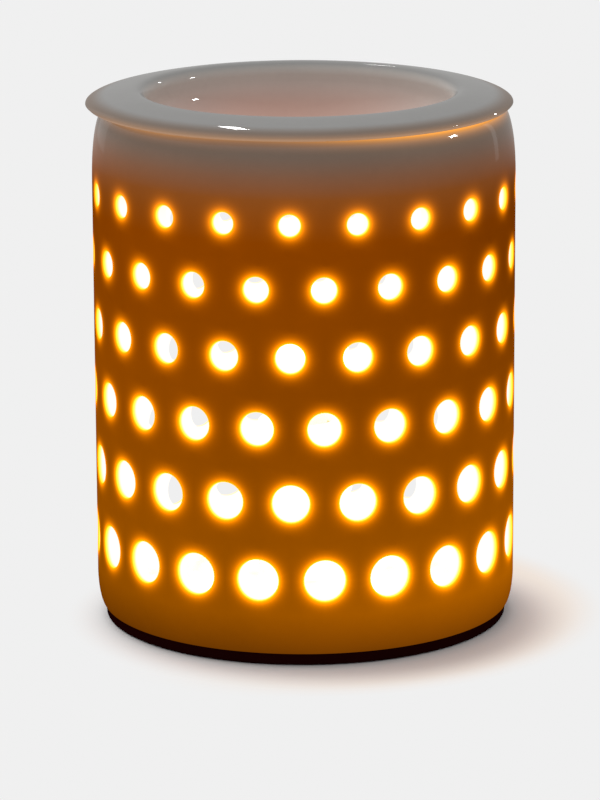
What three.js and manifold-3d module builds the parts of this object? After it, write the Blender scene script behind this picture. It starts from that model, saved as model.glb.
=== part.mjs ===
// Fragrance lamp: a pierced porcelain shade lit from inside, with a loose porcelain dish on top.
// Millimetres, +Z up, front towards -Y. The origin is the middle of the underside, on the table.

import * as THREE from 'three';
import { mergeVertices } from 'three/addons/utils/BufferGeometryUtils.js';
import Module from 'manifold-3d';

const wasm = await Module();
wasm.setup();

// Clearances
const SEAT_GAP = 0.3; // between a piece and the face that it rests on
const SLIP_GAP = 0.3; // radial, between a piece and the bore that it sits in
const THREAD_GAP = 0.5; // radial, between the bulb's cap and the threaded sleeve
const LOCATING_GAP = 1.8; // radial play of the dish in the mouth of the shade

// Shade: porcelain drum with a soft shoulder, a drawn-in heel and a floor with an opening
const SHADE_R = 60;
const SHADE_H = 144.3;
const SHADE_WALL = 4;
const SHOULDER_H = 22;
const SHOULDER_IN = 5.5;
const SHOULDER_POWER = 2.4; // above 2 the shoulder is squarer than an ellipse
const MOUTH_LIP = 2.1;
const MOUTH_EDGE_H = 2.5;
const HEEL_H = 10.5;
const HEEL_IN = 1.7;
const HEEL_EDGE = 1.2;
const FLOOR_T = 4;
const FLOOR_W = 16;

// Piercing: staggered rows whose holes and gaps grow from the top row to the bottom row
const ROWS = 6;
const HOLES_PER_ROW = 20;
const TOP_ROW_DROP = 23.5; // from the crest of the mouth to the top row's centres
const BOTTOM_ROW_RISE = 20.8; // from the foot of the shade to the bottom row's centres
const ROW_SPREAD = 0.125; // 0 gives even rows, more opens the lower rows
const TOP_HOLE_D = 6;
const BOTTOM_HOLE_D = 11.6;
const FRONT_TURN = -3.8; // degrees from the front to the nearest hole of the top row
const PIERCE_TIP = 52; // how far past the axis the long taper of each hole comes to a point

// Dish
const RIM_OVERHANG = 0.4;
const RIM_W = 14.8;
const RIM_RISE = 2.1;
const LIP_H = 2.6;
const LIP_BEAD = 1;
const LIP_DROP = 0.9; // how far the lip's edge hangs below the seat
const LIP_W = 3.2;
const ROLL_R = 3.5;
const BOWL_DEPTH = 22;
const BOWL_POWER = 2.3;
const DISH_WALL = 4.2;
const STEP_H = 3;
const STEP_R = 1;
const DISH_SHIFT = 1.2; // the loose dish lies this far off centre, to the left

// Base plate and feet
const BASE_INSET = 2.4;
const BASE_T = 3.3;
const BASE_EDGE = 0.8;
const SPIGOT_H = 3;
const SPIGOT_T = 2.5;
const FOOT_R = 5;
const FOOT_DROP = 0.6; // how far the feet stand out below the base plate
const FOOT_SINK = 1.5;
const FOOT_EDGE = 9.6;

// Clamping strap, its pads and its screws
const STRAP_T = 1.5;
const STRAP_W = 16;
const STRAP_LAP = 10;
const PAD_T = 1;
const PAD_EDGE = 1.5;
const BOSS_R = 5;
const BOSS_EDGE = 10;
const CLAMP_SCREW_R = 2;
const CLAMP_HEAD_R = 3.6;
const CLAMP_HEAD_H = 2.2;
const CLAMP_HEAD_SINK = 0.3;
const NUT_FLATS = 7;
const NUT_H = 3.2;
const SCREW_END = 1;
const HEAD_CROWN = 0.3; // share of a screw head's radius that is rounded off
const HEAD_EDGE = 0.5; // share of a screw head's height that is straight

// Lampholder
const HOLDER_R = 13.5;
const HOLDER_H = 45;
const HOLDER_EDGE = 1;
const HOLDER_RIM = 1.5; // width of the strap's round middle past the lampholder
const SLEEVE_L = 22;
const SLEEVE_T = 0.7;
const SLEEVE_SINK = 1.5;
const SLEEVE_OPENING_R = 4.6;
const WELL_R = 4.2;
const WELL_H = 6;
const CONTACT_T = 0.6;
const CONTACT_W = 4.4;
const CONTACT_EDGE = 3.6; // from the outside of the lampholder in to a contact's leg
const CONTACT_FOOT_W = 4.4;
const TONGUE_RISE = 1.2;
const TONGUE_REACH = 2.5;
const TONGUE_CREST = 1;
const CHAMBER_W = 6.4;
const CHAMBER_RISE = 2.4;
const CHAMBER_H = 2.4;
const TERMINAL_RISE = 8.4;
const TERMINAL_SCREW_R = 1.4;
const TERMINAL_HEAD_R = 2.6;
const TERMINAL_HEAD_H = 1.8;
const TERMINAL_GRIP = 1; // room for a wire between a contact and its screw's head
const TERMINAL_SCREW_L = 6;
const HOLDER_SCREW_L = 10;
const HOLDER_NUT_RISE = 6;
const HOLDER_NUT_H = 2.6;

// Terminal block and leads
const BLOCK_L = 11;
const BLOCK_H = 11;
const BLOCK_VALLEY_H = 5.5;
const BLOCK_TOWER_W = 6.4;
const BLOCK_VALLEY_W = 5.6;
const INSERT_R = 2.1;
const INSERT_BORE_R = 1.5;
const INSERT_SHORT = 0.8;
const BLOCK_SCREW_R = 1.2;
const BLOCK_SCREW_BITE = 0.5;
const BLOCK_SCREW_SINK = 0.6;
const FIXING_SCREW_R = 1.3;
const FIXING_HEAD_R = 2.2;
const FIXING_HEAD_H = 1.6;
const FIXING_BITE = 2;
const LEAD_R = 1.1;
const LEAD_IN = 2.5;
const LEAD_CLEAR = 1.1; // between the lampholder and a lead on its way round
const LEAD_TURNS = [50, 25, 4]; // degrees from the side, where a lead bends round the lampholder

// Cord gland
const GLAND_BORE_R = 3.7;
const GLAND_HOLE_R = 5.4;
const GLAND_FLANGE_R = 6.6;
const GLAND_FLANGE_T = 1.6;
const GLAND_RISE = 0.6; // from the shade's floor to the gland's flange

// Bulb
const CAP_R = 6.7;
const CAP_L = 21;
const CAP_T = 0.6;
const CAP_SKIRT = 0.7;
const CAP_SKIRT_H = 3;
const INSULATOR_H = 1.8;
const INSULATOR_IN = 2.4;
const TIP_R = 2.6;
const TIP_H = 1.2;
const GLASS_R = 12.5;
const GLASS_H = 37;
const GLASS_T = 0.7;
const NECK_IN = 6;
const NECK_FLARE_H = 12;
const STEM_H = 19;
const STEM_R = 1.7;
const STEM_FLARE_H = 8;
const WIRE_R = 0.35;
const WIRE_SPREAD = 5;
const WIRE_FOOT = 1;
const FILAMENT_R = 0.4;
const FILAMENT_RISE = 8;
const FILAMENT_BOW = 3.2;
const SUPPORT_SHARE = 0.5; // how far out each support holds its half of the filament

// Facets
const SHADE_SIDES = 2 * HOLES_PER_ROW;
const HOLE_SIDES = 10;
const DISH_SIDES = 32;
const BASE_SIDES = 32;
const TURNED_SIDES = 16;
const FOOT_SIDES = 12;
const SCREW_SIDES = 8;
const WIRE_SIDES = 6;
const STEPS = {
  heel: 5, shoulder: 5, inside: 3, underside: 4, dome: 3, roll: 3, bowl: 5, neck: 3,
  crown: 4, tip: 3, stem: 3, lead: 10, leadIn: 6, filament: 8, support: 4,
};
const WELD = 1e-4; // points closer than this are one

// Levels, from the table up
const BASE_TOP = FOOT_DROP + BASE_T;
const SHADE_Z = BASE_TOP + SEAT_GAP;
const FLOOR_TOP = SHADE_Z + FLOOR_T;
const CREST_Z = SHADE_Z + SHADE_H;
const DISH_Z = CREST_Z + SEAT_GAP;
const PAD_Z = FLOOR_TOP + SEAT_GAP;
const STRAP_Z = PAD_Z + PAD_T + SEAT_GAP;
const STRAP_TOP = STRAP_Z + STRAP_T;
const HOLDER_Z = STRAP_TOP + SEAT_GAP;
const HOLDER_TOP = HOLDER_Z + HOLDER_H;
const SLEEVE_TOP = HOLDER_TOP - SLEEVE_SINK;
const SLEEVE_Z = SLEEVE_TOP - SLEEVE_L;
const LEDGE_Z = SLEEVE_Z - SEAT_GAP;
const WELL_Z = LEDGE_Z - WELL_H;
const TONGUE_Z = SLEEVE_Z + TONGUE_RISE;
const TERMINAL_Z = HOLDER_Z + TERMINAL_RISE;
const CHAMBER_Z = HOLDER_Z + CHAMBER_RISE;
const TIP_Z = TONGUE_Z + SEAT_GAP;
const INSULATOR_Z = TIP_Z + TIP_H + SEAT_GAP;
const CAP_Z = INSULATOR_Z + INSULATOR_H + SEAT_GAP;
const CAP_TOP = CAP_Z + CAP_L;
const GLASS_Z = CAP_TOP - NECK_IN;
const GLASS_TOP = CAP_TOP + GLASS_H;
const STEM_Z = GLASS_Z + SEAT_GAP;
const STEM_TOP = STEM_Z + STEM_H;
const FILAMENT_Z = STEM_TOP + FILAMENT_RISE;
const BLOCK_Z = BASE_TOP + SEAT_GAP;
const BORE_Z = BLOCK_Z + BLOCK_H / 2;

// Radii and places that several pieces share
const SHADE_BORE_R = SHADE_R - SHADE_WALL;
const FLOOR_OPENING_R = SHADE_BORE_R - FLOOR_W;
const MOUTH_R = SHADE_R - SHOULDER_IN - MOUTH_LIP;
const RIM_R = SHADE_R + RIM_OVERHANG;
const BASE_R = SHADE_R - BASE_INSET;
const SPIGOT_R = FLOOR_OPENING_R - SLIP_GAP;
const SPIGOT_BORE_R = SPIGOT_R - SPIGOT_T;
const CLAMP_X = FLOOR_OPENING_R - BOSS_EDGE;
const STRAP_HALF = FLOOR_OPENING_R + STRAP_LAP;
const SLEEVE_BORE_R = CAP_R + THREAD_GAP;
const SLEEVE_R = SLEEVE_BORE_R + SLEEVE_T;
const LEG_X = HOLDER_R - CONTACT_EDGE;
const NECK_R = CAP_R - CAP_T - SLIP_GAP;
const POLE_X = (BLOCK_VALLEY_W + BLOCK_TOWER_W) / 2;
const STRAP_MIDDLE_R = HOLDER_R + HOLDER_RIM;
const BLOCK_Y = (STRAP_MIDDLE_R + SPIGOT_BORE_R) / 2;
const BLOCK_BACK_Y = BLOCK_Y + BLOCK_L / 2;
const BLOCK_FRONT_Y = BLOCK_Y - BLOCK_L / 2;
const LEAD_ROUND_R = HOLDER_R + LEAD_CLEAR + LEAD_R;
const GLAND_TURN = FRONT_TURN + 180;
const GLAND_Z = FLOOR_TOP + GLAND_RISE + GLAND_FLANGE_R;
const SIDES = { left: -1, right: 1 };

// Finishes
function finish(color, roughness, metalness) {
  return new THREE.MeshStandardMaterial({ color, roughness, metalness });
}

const porcelain = () => finish(0x927a68, 0.22, 0);
const ceramic = () => finish(0xe6e0d4, 0.55, 0);
const darkPlastic = () => finish(0x140505, 0.5, 0);
const rubber = () => finish(0x1b1a19, 0.9, 0);
const steel = () => finish(0xa9abae, 0.38, 1);
const brass = () => finish(0xb58a3c, 0.35, 1);
const nickel = () => finish(0xc4c1b8, 0.3, 1);
const clearGlass = () => finish(0xf4ead8, 0.05, 0);
const blackGlass = () => finish(0x17130f, 0.3, 0);
const nylon = () => finish(0xe9e6dc, 0.5, 0);
const tungsten = () => finish(0xffd9a0, 0.6, 1);
const leadSleeving = () => finish(0xc9c2ae, 0.8, 0);

// Geometry helpers

const radians = THREE.MathUtils.degToRad;
const at = (x, y) => new THREE.Vector2(x, y);
const polar = (r, degrees) => at(r * Math.cos(radians(degrees)), r * Math.sin(radians(degrees)));

function solidOf(geometry) {
  const bare = geometry.clone();
  bare.deleteAttribute('normal');
  bare.deleteAttribute('uv');
  const welded = mergeVertices(bare, WELD);
  const mesh = new wasm.Mesh({
    numProp: 3,
    vertProperties: new Float32Array(welded.attributes.position.array),
    triVerts: new Uint32Array(welded.index.array),
  });
  return new wasm.Manifold(mesh);
}

function geometryOf(solid) {
  const mesh = solid.getMesh();
  const geometry = new THREE.BufferGeometry();
  geometry.setAttribute('position', new THREE.BufferAttribute(mesh.vertProperties, 3));
  geometry.setIndex(new THREE.BufferAttribute(mesh.triVerts, 1));
  geometry.computeVertexNormals();
  return geometry;
}

function cut(body, tools) {
  return geometryOf(tools.reduce((solid, tool) => solid.subtract(solidOf(tool)), solidOf(body)));
}

function join(body, extras) {
  return geometryOf(extras.reduce((solid, extra) => solid.add(solidOf(extra)), solidOf(body)));
}

// Turns a profile of radius and height about Z. The material lies left of the profile as it runs.
function turned(profile, sides, startDegrees = 0) {
  const geometry = new THREE.LatheGeometry(profile, sides, radians(startDegrees));
  return geometry.rotateX(Math.PI / 2);
}

// A turned profile that comes back to its first point, for a piece with a bore
function ring(profile, sides, startDegrees = 0) {
  return turned([...profile, profile[0]], sides, startDegrees);
}

function upright(radius, z0, z1, sides = SCREW_SIDES) {
  const geometry = new THREE.CylinderGeometry(radius, radius, z1 - z0, sides);
  return geometry.rotateX(Math.PI / 2).translate(0, 0, (z0 + z1) / 2);
}

function washer(radius, bore, z0, z1, sides) {
  return ring([at(bore, z0), at(radius, z0), at(radius, z1), at(bore, z1)], sides);
}

function box(x0, x1, y0, y1, z0, z1) {
  const geometry = new THREE.BoxGeometry(x1 - x0, y1 - y0, z1 - z0);
  return geometry.translate((x0 + x1) / 2, (y0 + y1) / 2, (z0 + z1) / 2);
}

// A flat plate from its outline, seen from above
function plate(shape, z0, z1, curveSegments) {
  const geometry = new THREE.ExtrudeGeometry(shape, { depth: z1 - z0, bevelEnabled: false, curveSegments });
  return geometry.translate(0, 0, z0);
}

function wire(points, radius, steps) {
  const section = new THREE.Shape().absarc(0, 0, radius, 0, Math.PI * 2);
  const extrudePath = new THREE.CatmullRomCurve3(points);
  return new THREE.ExtrudeGeometry(section, { steps, extrudePath, curveSegments: WIRE_SIDES / 2 });
}

// A bent metal strip: its middle line in X and Z, drawn out evenly to both sides of Y = 0
function strip(line, thickness, width) {
  const offset = (side) => line.map((point, i) => {
    const before = line[Math.max(i - 1, 0)];
    const after = line[Math.min(i + 1, line.length - 1)];
    const incoming = i > 0 ? point.clone().sub(before).normalize() : after.clone().sub(point).normalize();
    const outgoing = i < line.length - 1 ? after.clone().sub(point).normalize() : incoming;
    const mitre = at(-incoming.y - outgoing.y, incoming.x + outgoing.x).normalize();
    const stretch = mitre.dot(at(-incoming.y, incoming.x));
    return point.clone().addScaledVector(mitre, (side * thickness) / 2 / stretch);
  });
  const shape = new THREE.Shape([...offset(1), ...offset(-1).reverse()]);
  const geometry = new THREE.ExtrudeGeometry(shape, { depth: width, bevelEnabled: false });
  return geometry.rotateX(Math.PI / 2).translate(0, width / 2, 0);
}

function arc(r, z, radius, startDegrees, endDegrees, steps) {
  const curve = new THREE.EllipseCurve(r, z, radius, radius, radians(startDegrees), radians(endDegrees),
    endDegrees < startDegrees);
  return curve.getPoints(steps);
}

// A quarter of a superellipse, from (r, z) straight along Z to (r - inward, z + rise) straight along R
function quarter(r, z, inward, rise, power, steps) {
  const points = [];
  for (let i = 0; i <= steps; i += 1) {
    const angle = (i / steps) * (Math.PI / 2);
    const across = Math.cos(angle) ** (2 / power);
    const along = Math.sin(angle) ** (2 / power);
    points.push(at(r - inward * (1 - across), z + rise * along));
  }
  return points;
}

// A hole's tool: a long cone from outside the shade to a tip past the axis, so the hole has a little draft
function piercer(radius, turn, z, sides) {
  const reach = SHADE_R + SHADE_WALL;
  const slope = radius / (SHADE_R + PIERCE_TIP);
  const length = reach + PIERCE_TIP;
  const geometry = new THREE.ConeGeometry(slope * length, length, sides);
  return geometry.translate(0, (PIERCE_TIP - reach) / 2, z).rotateZ(radians(turn));
}

// Shade

function shadeBody() {
  const heelR = SHADE_R - HEEL_IN;
  const shoulderZ = CREST_Z - SHOULDER_H;
  const mouthEdgeZ = CREST_Z - MOUTH_EDGE_H;
  const heel = quarter(SHADE_R, SHADE_Z + HEEL_H, 2 * HEEL_IN, HEEL_EDGE - HEEL_H, 2, STEPS.heel)
    .filter((point) => point.x > heelR)
    .reverse();
  const inward = SHADE_BORE_R - MOUTH_R;
  const inside = quarter(SHADE_BORE_R, shoulderZ, inward, mouthEdgeZ - shoulderZ, 2, STEPS.inside).reverse();
  const profile = [
    at(FLOOR_OPENING_R, SHADE_Z),
    at(heelR - HEEL_EDGE, SHADE_Z),
    ...heel,
    ...quarter(SHADE_R, shoulderZ, SHOULDER_IN, SHOULDER_H, SHOULDER_POWER, STEPS.shoulder),
    at(MOUTH_R, CREST_Z - MOUTH_EDGE_H / 3),
    ...inside,
    at(SHADE_BORE_R, FLOOR_TOP),
    at(FLOOR_OPENING_R, FLOOR_TOP),
  ];
  const facet = 360 / SHADE_SIDES;
  return ring(profile, SHADE_SIDES, FRONT_TURN - facet / 2);
}

function piercing() {
  const step = 360 / HOLES_PER_ROW;
  const topZ = CREST_Z - TOP_ROW_DROP;
  const fall = topZ - SHADE_Z - BOTTOM_ROW_RISE;
  const holes = [];
  for (let row = 0; row < ROWS; row += 1) {
    const share = row / (ROWS - 1);
    const z = topZ - fall * share * (1 - ROW_SPREAD + ROW_SPREAD * share);
    const radius = THREE.MathUtils.lerp(TOP_HOLE_D, BOTTOM_HOLE_D, share) / 2;
    const turn = FRONT_TURN + (row % 2) * (step / 2);
    for (let hole = 0; hole < HOLES_PER_ROW; hole += 1) {
      holes.push(piercer(radius, turn + hole * step, z, HOLE_SIDES));
    }
  }
  return holes;
}

function shade() {
  const glandHole = piercer(GLAND_HOLE_R, GLAND_TURN, GLAND_Z, TURNED_SIDES);
  return cut(shadeBody(), [...piercing(), glandHole]);
}

// Dish

function dish() {
  const lipTop = DISH_Z - LIP_DROP + LIP_H;
  const crestR = RIM_R - RIM_W;
  const crestZ = lipTop + RIM_RISE;
  const bowlR = crestR - ROLL_R;
  const bowlZ = crestZ - BOWL_DEPTH;
  const stepR = MOUTH_R - LOCATING_GAP;
  const stepZ = DISH_Z - STEP_H;
  const outerR = bowlR + DISH_WALL;
  const underside = quarter(outerR, stepZ, outerR, bowlZ - DISH_WALL - stepZ, BOWL_POWER, STEPS.underside);
  const dome = new THREE.QuadraticBezierCurve(at(RIM_R - LIP_BEAD, lipTop), at(crestR + RIM_W / 2, crestZ),
    at(crestR, crestZ));
  const bowl = quarter(bowlR, crestZ - ROLL_R, bowlR, ROLL_R - BOWL_DEPTH, BOWL_POWER, STEPS.bowl);
  const profile = [
    ...underside.reverse(),
    at(stepR - STEP_R, stepZ),
    at(stepR, stepZ + STEP_R),
    at(stepR, DISH_Z),
    at(RIM_R - LIP_W, DISH_Z),
    at(RIM_R - LIP_BEAD, DISH_Z - LIP_DROP),
    at(RIM_R, DISH_Z - LIP_DROP + LIP_BEAD),
    at(RIM_R, lipTop - LIP_BEAD),
    ...dome.getPoints(STEPS.dome),
    ...arc(crestR, crestZ - ROLL_R, ROLL_R, 90, 180, STEPS.roll).slice(1, -1),
    ...bowl,
  ];
  profile[0].setX(0);
  profile[profile.length - 1].setX(0);
  return turned(profile, DISH_SIDES).translate(-DISH_SHIFT, 0, 0);
}

// Base plate, feet and clamp

const footAngles = { front_left: 225, front_right: 315, back_right: 45, back_left: 135 };

function footPlace(angle) {
  return [...polar(BASE_R - FOOT_EDGE, angle).toArray(), 0];
}

function basePlate() {
  const disc = turned([
    at(0, FOOT_DROP),
    at(BASE_R - BASE_EDGE, FOOT_DROP),
    at(BASE_R, FOOT_DROP + BASE_EDGE),
    at(BASE_R, BASE_TOP - BASE_EDGE),
    at(BASE_R - BASE_EDGE, BASE_TOP),
    at(SPIGOT_R, BASE_TOP),
    at(SPIGOT_R, BASE_TOP + SPIGOT_H),
    at(SPIGOT_BORE_R, BASE_TOP + SPIGOT_H),
    at(SPIGOT_BORE_R, BASE_TOP),
    at(0, BASE_TOP),
  ], BASE_SIDES);
  const bossZ = FOOT_DROP + BASE_T / 2;
  const bosses = Object.values(SIDES).map((side) =>
    upright(BOSS_R, bossZ, STRAP_Z - SEAT_GAP, TURNED_SIDES).translate(side * CLAMP_X, 0, 0));
  const screwSeat = FOOT_DROP + CLAMP_HEAD_SINK + CLAMP_HEAD_H + SEAT_GAP;
  const clampHoles = Object.values(SIDES).flatMap((side) => [
    upright(CLAMP_HEAD_R + SLIP_GAP, 0, screwSeat, TURNED_SIDES).translate(side * CLAMP_X, 0, 0),
    upright(CLAMP_SCREW_R + SLIP_GAP, 0, STRAP_TOP).translate(side * CLAMP_X, 0, 0),
  ]);
  const pockets = Object.values(footAngles).map((angle) =>
    upright(FOOT_R + SLIP_GAP, 0, FOOT_DROP + FOOT_SINK, FOOT_SIDES).translate(...footPlace(angle)));
  const pilotHole = upright(FIXING_SCREW_R + SLIP_GAP, BASE_TOP - FIXING_BITE - SEAT_GAP, STRAP_TOP)
    .translate(0, BLOCK_Y, 0);
  return cut(join(disc, bosses), [...clampHoles, ...pockets, pilotHole]);
}

function foot(angle) {
  return upright(FOOT_R, 0, FOOT_DROP + FOOT_SINK - SEAT_GAP, FOOT_SIDES).translate(...footPlace(angle));
}

function bridgeStrap() {
  const half = STRAP_W / 2;
  const meet = Math.asin(half / STRAP_MIDDLE_R);
  const outline = new THREE.Shape();
  outline.absarc(STRAP_HALF - half, 0, half, -Math.PI / 2, Math.PI / 2);
  outline.absarc(0, 0, STRAP_MIDDLE_R, meet, Math.PI - meet);
  outline.absarc(half - STRAP_HALF, 0, half, Math.PI / 2, (Math.PI * 3) / 2);
  outline.absarc(0, 0, STRAP_MIDDLE_R, Math.PI + meet, Math.PI * 2 - meet);
  for (const x of [-CLAMP_X, 0, CLAMP_X]) {
    outline.holes.push(new THREE.Path().absarc(x, 0, CLAMP_SCREW_R + SLIP_GAP, 0, Math.PI * 2));
  }
  return plate(outline, STRAP_Z, STRAP_TOP, SCREW_SIDES / 2);
}

function strapPad(side) {
  const inner = FLOOR_OPENING_R + PAD_EDGE;
  const outer = STRAP_HALF - PAD_EDGE;
  const half = STRAP_W / 2 - PAD_EDGE;
  const reach = outer - half;
  const outline = new THREE.Shape();
  outline.moveTo(Math.min(inner, reach), -half);
  outline.lineTo(reach, -half);
  outline.absarc(reach, 0, half, -Math.PI / 2, Math.PI / 2);
  outline.lineTo(Math.min(inner, reach), half);
  return plate(outline, PAD_Z, PAD_Z + PAD_T, SCREW_SIDES / 2).rotateZ(side > 0 ? 0 : Math.PI);
}

// A round-headed screw standing on its head, with the head's underside at z
function headUpScrew(headR, headH, shankR, z, tipZ) {
  const crown = headR * HEAD_CROWN;
  return turned([
    at(0, tipZ),
    at(shankR, tipZ),
    at(shankR, z),
    at(headR, z),
    at(headR, z + headH * HEAD_EDGE),
    at(headR - crown, z + headH),
    at(0, z + headH),
  ], SCREW_SIDES);
}

function headDownScrew(headR, headH, shankR, z, tipZ) {
  const crown = headR * HEAD_CROWN;
  return turned([
    at(0, z - headH),
    at(headR - crown, z - headH),
    at(headR, z - headH * HEAD_EDGE),
    at(headR, z),
    at(shankR, z),
    at(shankR, tipZ),
    at(0, tipZ),
  ], SCREW_SIDES);
}

function baseScrew(side) {
  const headTop = FOOT_DROP + CLAMP_HEAD_SINK + CLAMP_HEAD_H;
  const tip = STRAP_TOP + SEAT_GAP + NUT_H + SCREW_END;
  const screw = headDownScrew(CLAMP_HEAD_R, CLAMP_HEAD_H, CLAMP_SCREW_R, headTop, tip);
  return screw.translate(side * CLAMP_X, 0, 0);
}

function baseNut(side) {
  const corners = NUT_FLATS / 2 / Math.cos(Math.PI / 6);
  const hexagon = [0, 60, 120, 180, 240, 300].map((degrees) => polar(corners, degrees));
  const outline = new THREE.Shape(hexagon);
  outline.holes.push(new THREE.Path().absarc(0, 0, CLAMP_SCREW_R + SLIP_GAP, 0, Math.PI * 2));
  const z = STRAP_TOP + SEAT_GAP;
  return plate(outline, z, z + NUT_H, SCREW_SIDES / 2).translate(side * CLAMP_X, 0, 0);
}

// Lampholder

function lampholderBody() {
  const outer = turned([
    at(0, HOLDER_Z),
    at(HOLDER_R, HOLDER_Z),
    at(HOLDER_R, HOLDER_TOP - HOLDER_EDGE),
    at(HOLDER_R - HOLDER_EDGE, HOLDER_TOP),
    at(0, HOLDER_TOP),
  ], TURNED_SIDES);
  const past = HOLDER_R + HOLDER_EDGE;
  const pocketX = LEG_X - CONTACT_T / 2 - SEAT_GAP;
  const half = CHAMBER_W / 2;
  const footX = LEG_X - CONTACT_FOOT_W - SEAT_GAP;
  const footZ = LEDGE_Z - CONTACT_T - SEAT_GAP;
  const nutHalf = NUT_FLATS / 2 + SLIP_GAP;
  const nutZ = HOLDER_Z + HOLDER_NUT_RISE;
  const shank = new THREE.CylinderGeometry(TERMINAL_SCREW_R + SLIP_GAP, TERMINAL_SCREW_R + SLIP_GAP,
    2 * (HOLDER_R + CONTACT_EDGE), SCREW_SIDES).rotateZ(Math.PI / 2).translate(0, 0, TERMINAL_Z);
  const middle = box(-nutHalf, nutHalf, -half, half, TERMINAL_Z - half, TERMINAL_Z + half);
  return cut(outer, [
    upright(SLEEVE_R + SLIP_GAP, LEDGE_Z, HOLDER_TOP + HOLDER_EDGE, TURNED_SIDES),
    upright(WELL_R, WELL_Z, HOLDER_TOP, TURNED_SIDES),
    box(pocketX, past, -half, half, CHAMBER_Z, WELL_Z + CHAMBER_H),
    box(0, past, -half, half, WELL_Z, WELL_Z + CHAMBER_H),
    box(-past, -pocketX, -half, half, CHAMBER_Z, LEDGE_Z + SEAT_GAP),
    box(-past, -footX, -half, half, footZ - SEAT_GAP, LEDGE_Z + SEAT_GAP),
    geometryOf(solidOf(shank).subtract(solidOf(middle))),
    upright(CLAMP_SCREW_R + SLIP_GAP, HOLDER_Z - SEAT_GAP, HOLDER_Z + HOLDER_SCREW_L + SCREW_END),
    box(-nutHalf, nutHalf, -past, nutHalf, nutZ - SEAT_GAP, nutZ + HOLDER_NUT_H + SEAT_GAP),
  ]);
}

function threadSleeve() {
  return ring([
    at(SLEEVE_OPENING_R, SLEEVE_Z),
    at(SLEEVE_R, SLEEVE_Z),
    at(SLEEVE_R, SLEEVE_TOP),
    at(SLEEVE_BORE_R, SLEEVE_TOP),
    at(SLEEVE_BORE_R, SLEEVE_Z + SLEEVE_T),
    at(SLEEVE_OPENING_R, SLEEVE_Z + SLEEVE_T),
  ], TURNED_SIDES);
}

// A contact's leg has a hole for its terminal screw
function terminalHole(side) {
  const radius = TERMINAL_SCREW_R + SLIP_GAP;
  return new THREE.CylinderGeometry(radius, radius, CONTACT_EDGE, SCREW_SIDES)
    .rotateZ(Math.PI / 2).translate(side * LEG_X, 0, TERMINAL_Z);
}

function liveContact() {
  const legZ = CHAMBER_Z + SEAT_GAP;
  const levelZ = WELL_Z + SEAT_GAP + CONTACT_T / 2;
  const topZ = TONGUE_Z - CONTACT_T / 2;
  const spring = strip([
    at(LEG_X, legZ),
    at(LEG_X, levelZ),
    at(-TONGUE_REACH, levelZ),
    at(TONGUE_CREST, topZ),
    at(TONGUE_REACH, topZ - CONTACT_T),
  ], CONTACT_T, CONTACT_W);
  return cut(spring, [terminalHole(1)]);
}

function neutralContact() {
  const legZ = CHAMBER_Z + SEAT_GAP;
  const levelZ = SLEEVE_Z - SEAT_GAP - CONTACT_T / 2;
  const angle = strip([
    at(-LEG_X, legZ),
    at(-LEG_X, levelZ),
    at(CONTACT_FOOT_W - LEG_X, levelZ),
  ], CONTACT_T, CONTACT_W);
  return cut(angle, [terminalHole(-1)]);
}

function terminalScrew(side) {
  const grip = LEG_X + CONTACT_T / 2 + TERMINAL_GRIP;
  return headUpScrew(TERMINAL_HEAD_R, TERMINAL_HEAD_H, TERMINAL_SCREW_R, grip, grip - TERMINAL_SCREW_L)
    .rotateY(side * (Math.PI / 2)).translate(0, 0, TERMINAL_Z);
}

function holderScrew() {
  const tip = HOLDER_Z + HOLDER_SCREW_L;
  return headDownScrew(CLAMP_HEAD_R, CLAMP_HEAD_H, CLAMP_SCREW_R, STRAP_Z - SEAT_GAP, tip);
}

function holderNut() {
  const half = NUT_FLATS / 2;
  const z = HOLDER_Z + HOLDER_NUT_RISE;
  const hole = upright(CLAMP_SCREW_R + SLIP_GAP, HOLDER_Z, HOLDER_TOP);
  return cut(box(-half, half, -half, half, z, z + HOLDER_NUT_H), [hole]);
}

// Terminal block and leads

function blockScrewPlaces(side) {
  return [-1, 1].map((end) => [side * POLE_X, BLOCK_Y + (end * BLOCK_L) / 4, 0]);
}

function terminalBlock() {
  const valley = BLOCK_VALLEY_W / 2;
  const outer = valley + BLOCK_TOWER_W;
  const outline = new THREE.Shape([
    at(-outer, 0),
    at(outer, 0),
    at(outer, BLOCK_H),
    at(valley, BLOCK_H),
    at(valley, BLOCK_VALLEY_H),
    at(-valley, BLOCK_VALLEY_H),
    at(-valley, BLOCK_H),
    at(-outer, BLOCK_H),
  ]);
  const body = new THREE.ExtrudeGeometry(outline, { depth: BLOCK_L, bevelEnabled: false })
    .rotateX(Math.PI / 2).translate(0, BLOCK_BACK_Y, BLOCK_Z);
  const bores = Object.values(SIDES).map((side) => {
    const radius = INSERT_R + SLIP_GAP;
    return new THREE.CylinderGeometry(radius, radius, BLOCK_L + 2 * SEAT_GAP, SCREW_SIDES)
      .translate(side * POLE_X, BLOCK_Y, BORE_Z);
  });
  const wells = Object.values(SIDES).flatMap(blockScrewPlaces).map((place) =>
    upright(BLOCK_SCREW_R + SLIP_GAP, BORE_Z, BLOCK_Z + BLOCK_H + SEAT_GAP).translate(...place));
  const fixing = upright(FIXING_SCREW_R + SLIP_GAP, 0, BLOCK_Z + BLOCK_H).translate(0, BLOCK_Y, 0);
  return cut(body, [...bores, ...wells, fixing]);
}

function blockInsert(side) {
  const half = BLOCK_L / 2 - INSERT_SHORT;
  const tube = washer(INSERT_R, INSERT_BORE_R, -half, half, SCREW_SIDES)
    .rotateX(Math.PI / 2).translate(side * POLE_X, BLOCK_Y, BORE_Z);
  const threads = blockScrewPlaces(side).map((place) =>
    upright(BLOCK_SCREW_R + SLIP_GAP, BORE_Z, BLOCK_Z + BLOCK_H).translate(...place));
  return cut(tube, threads);
}

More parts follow.
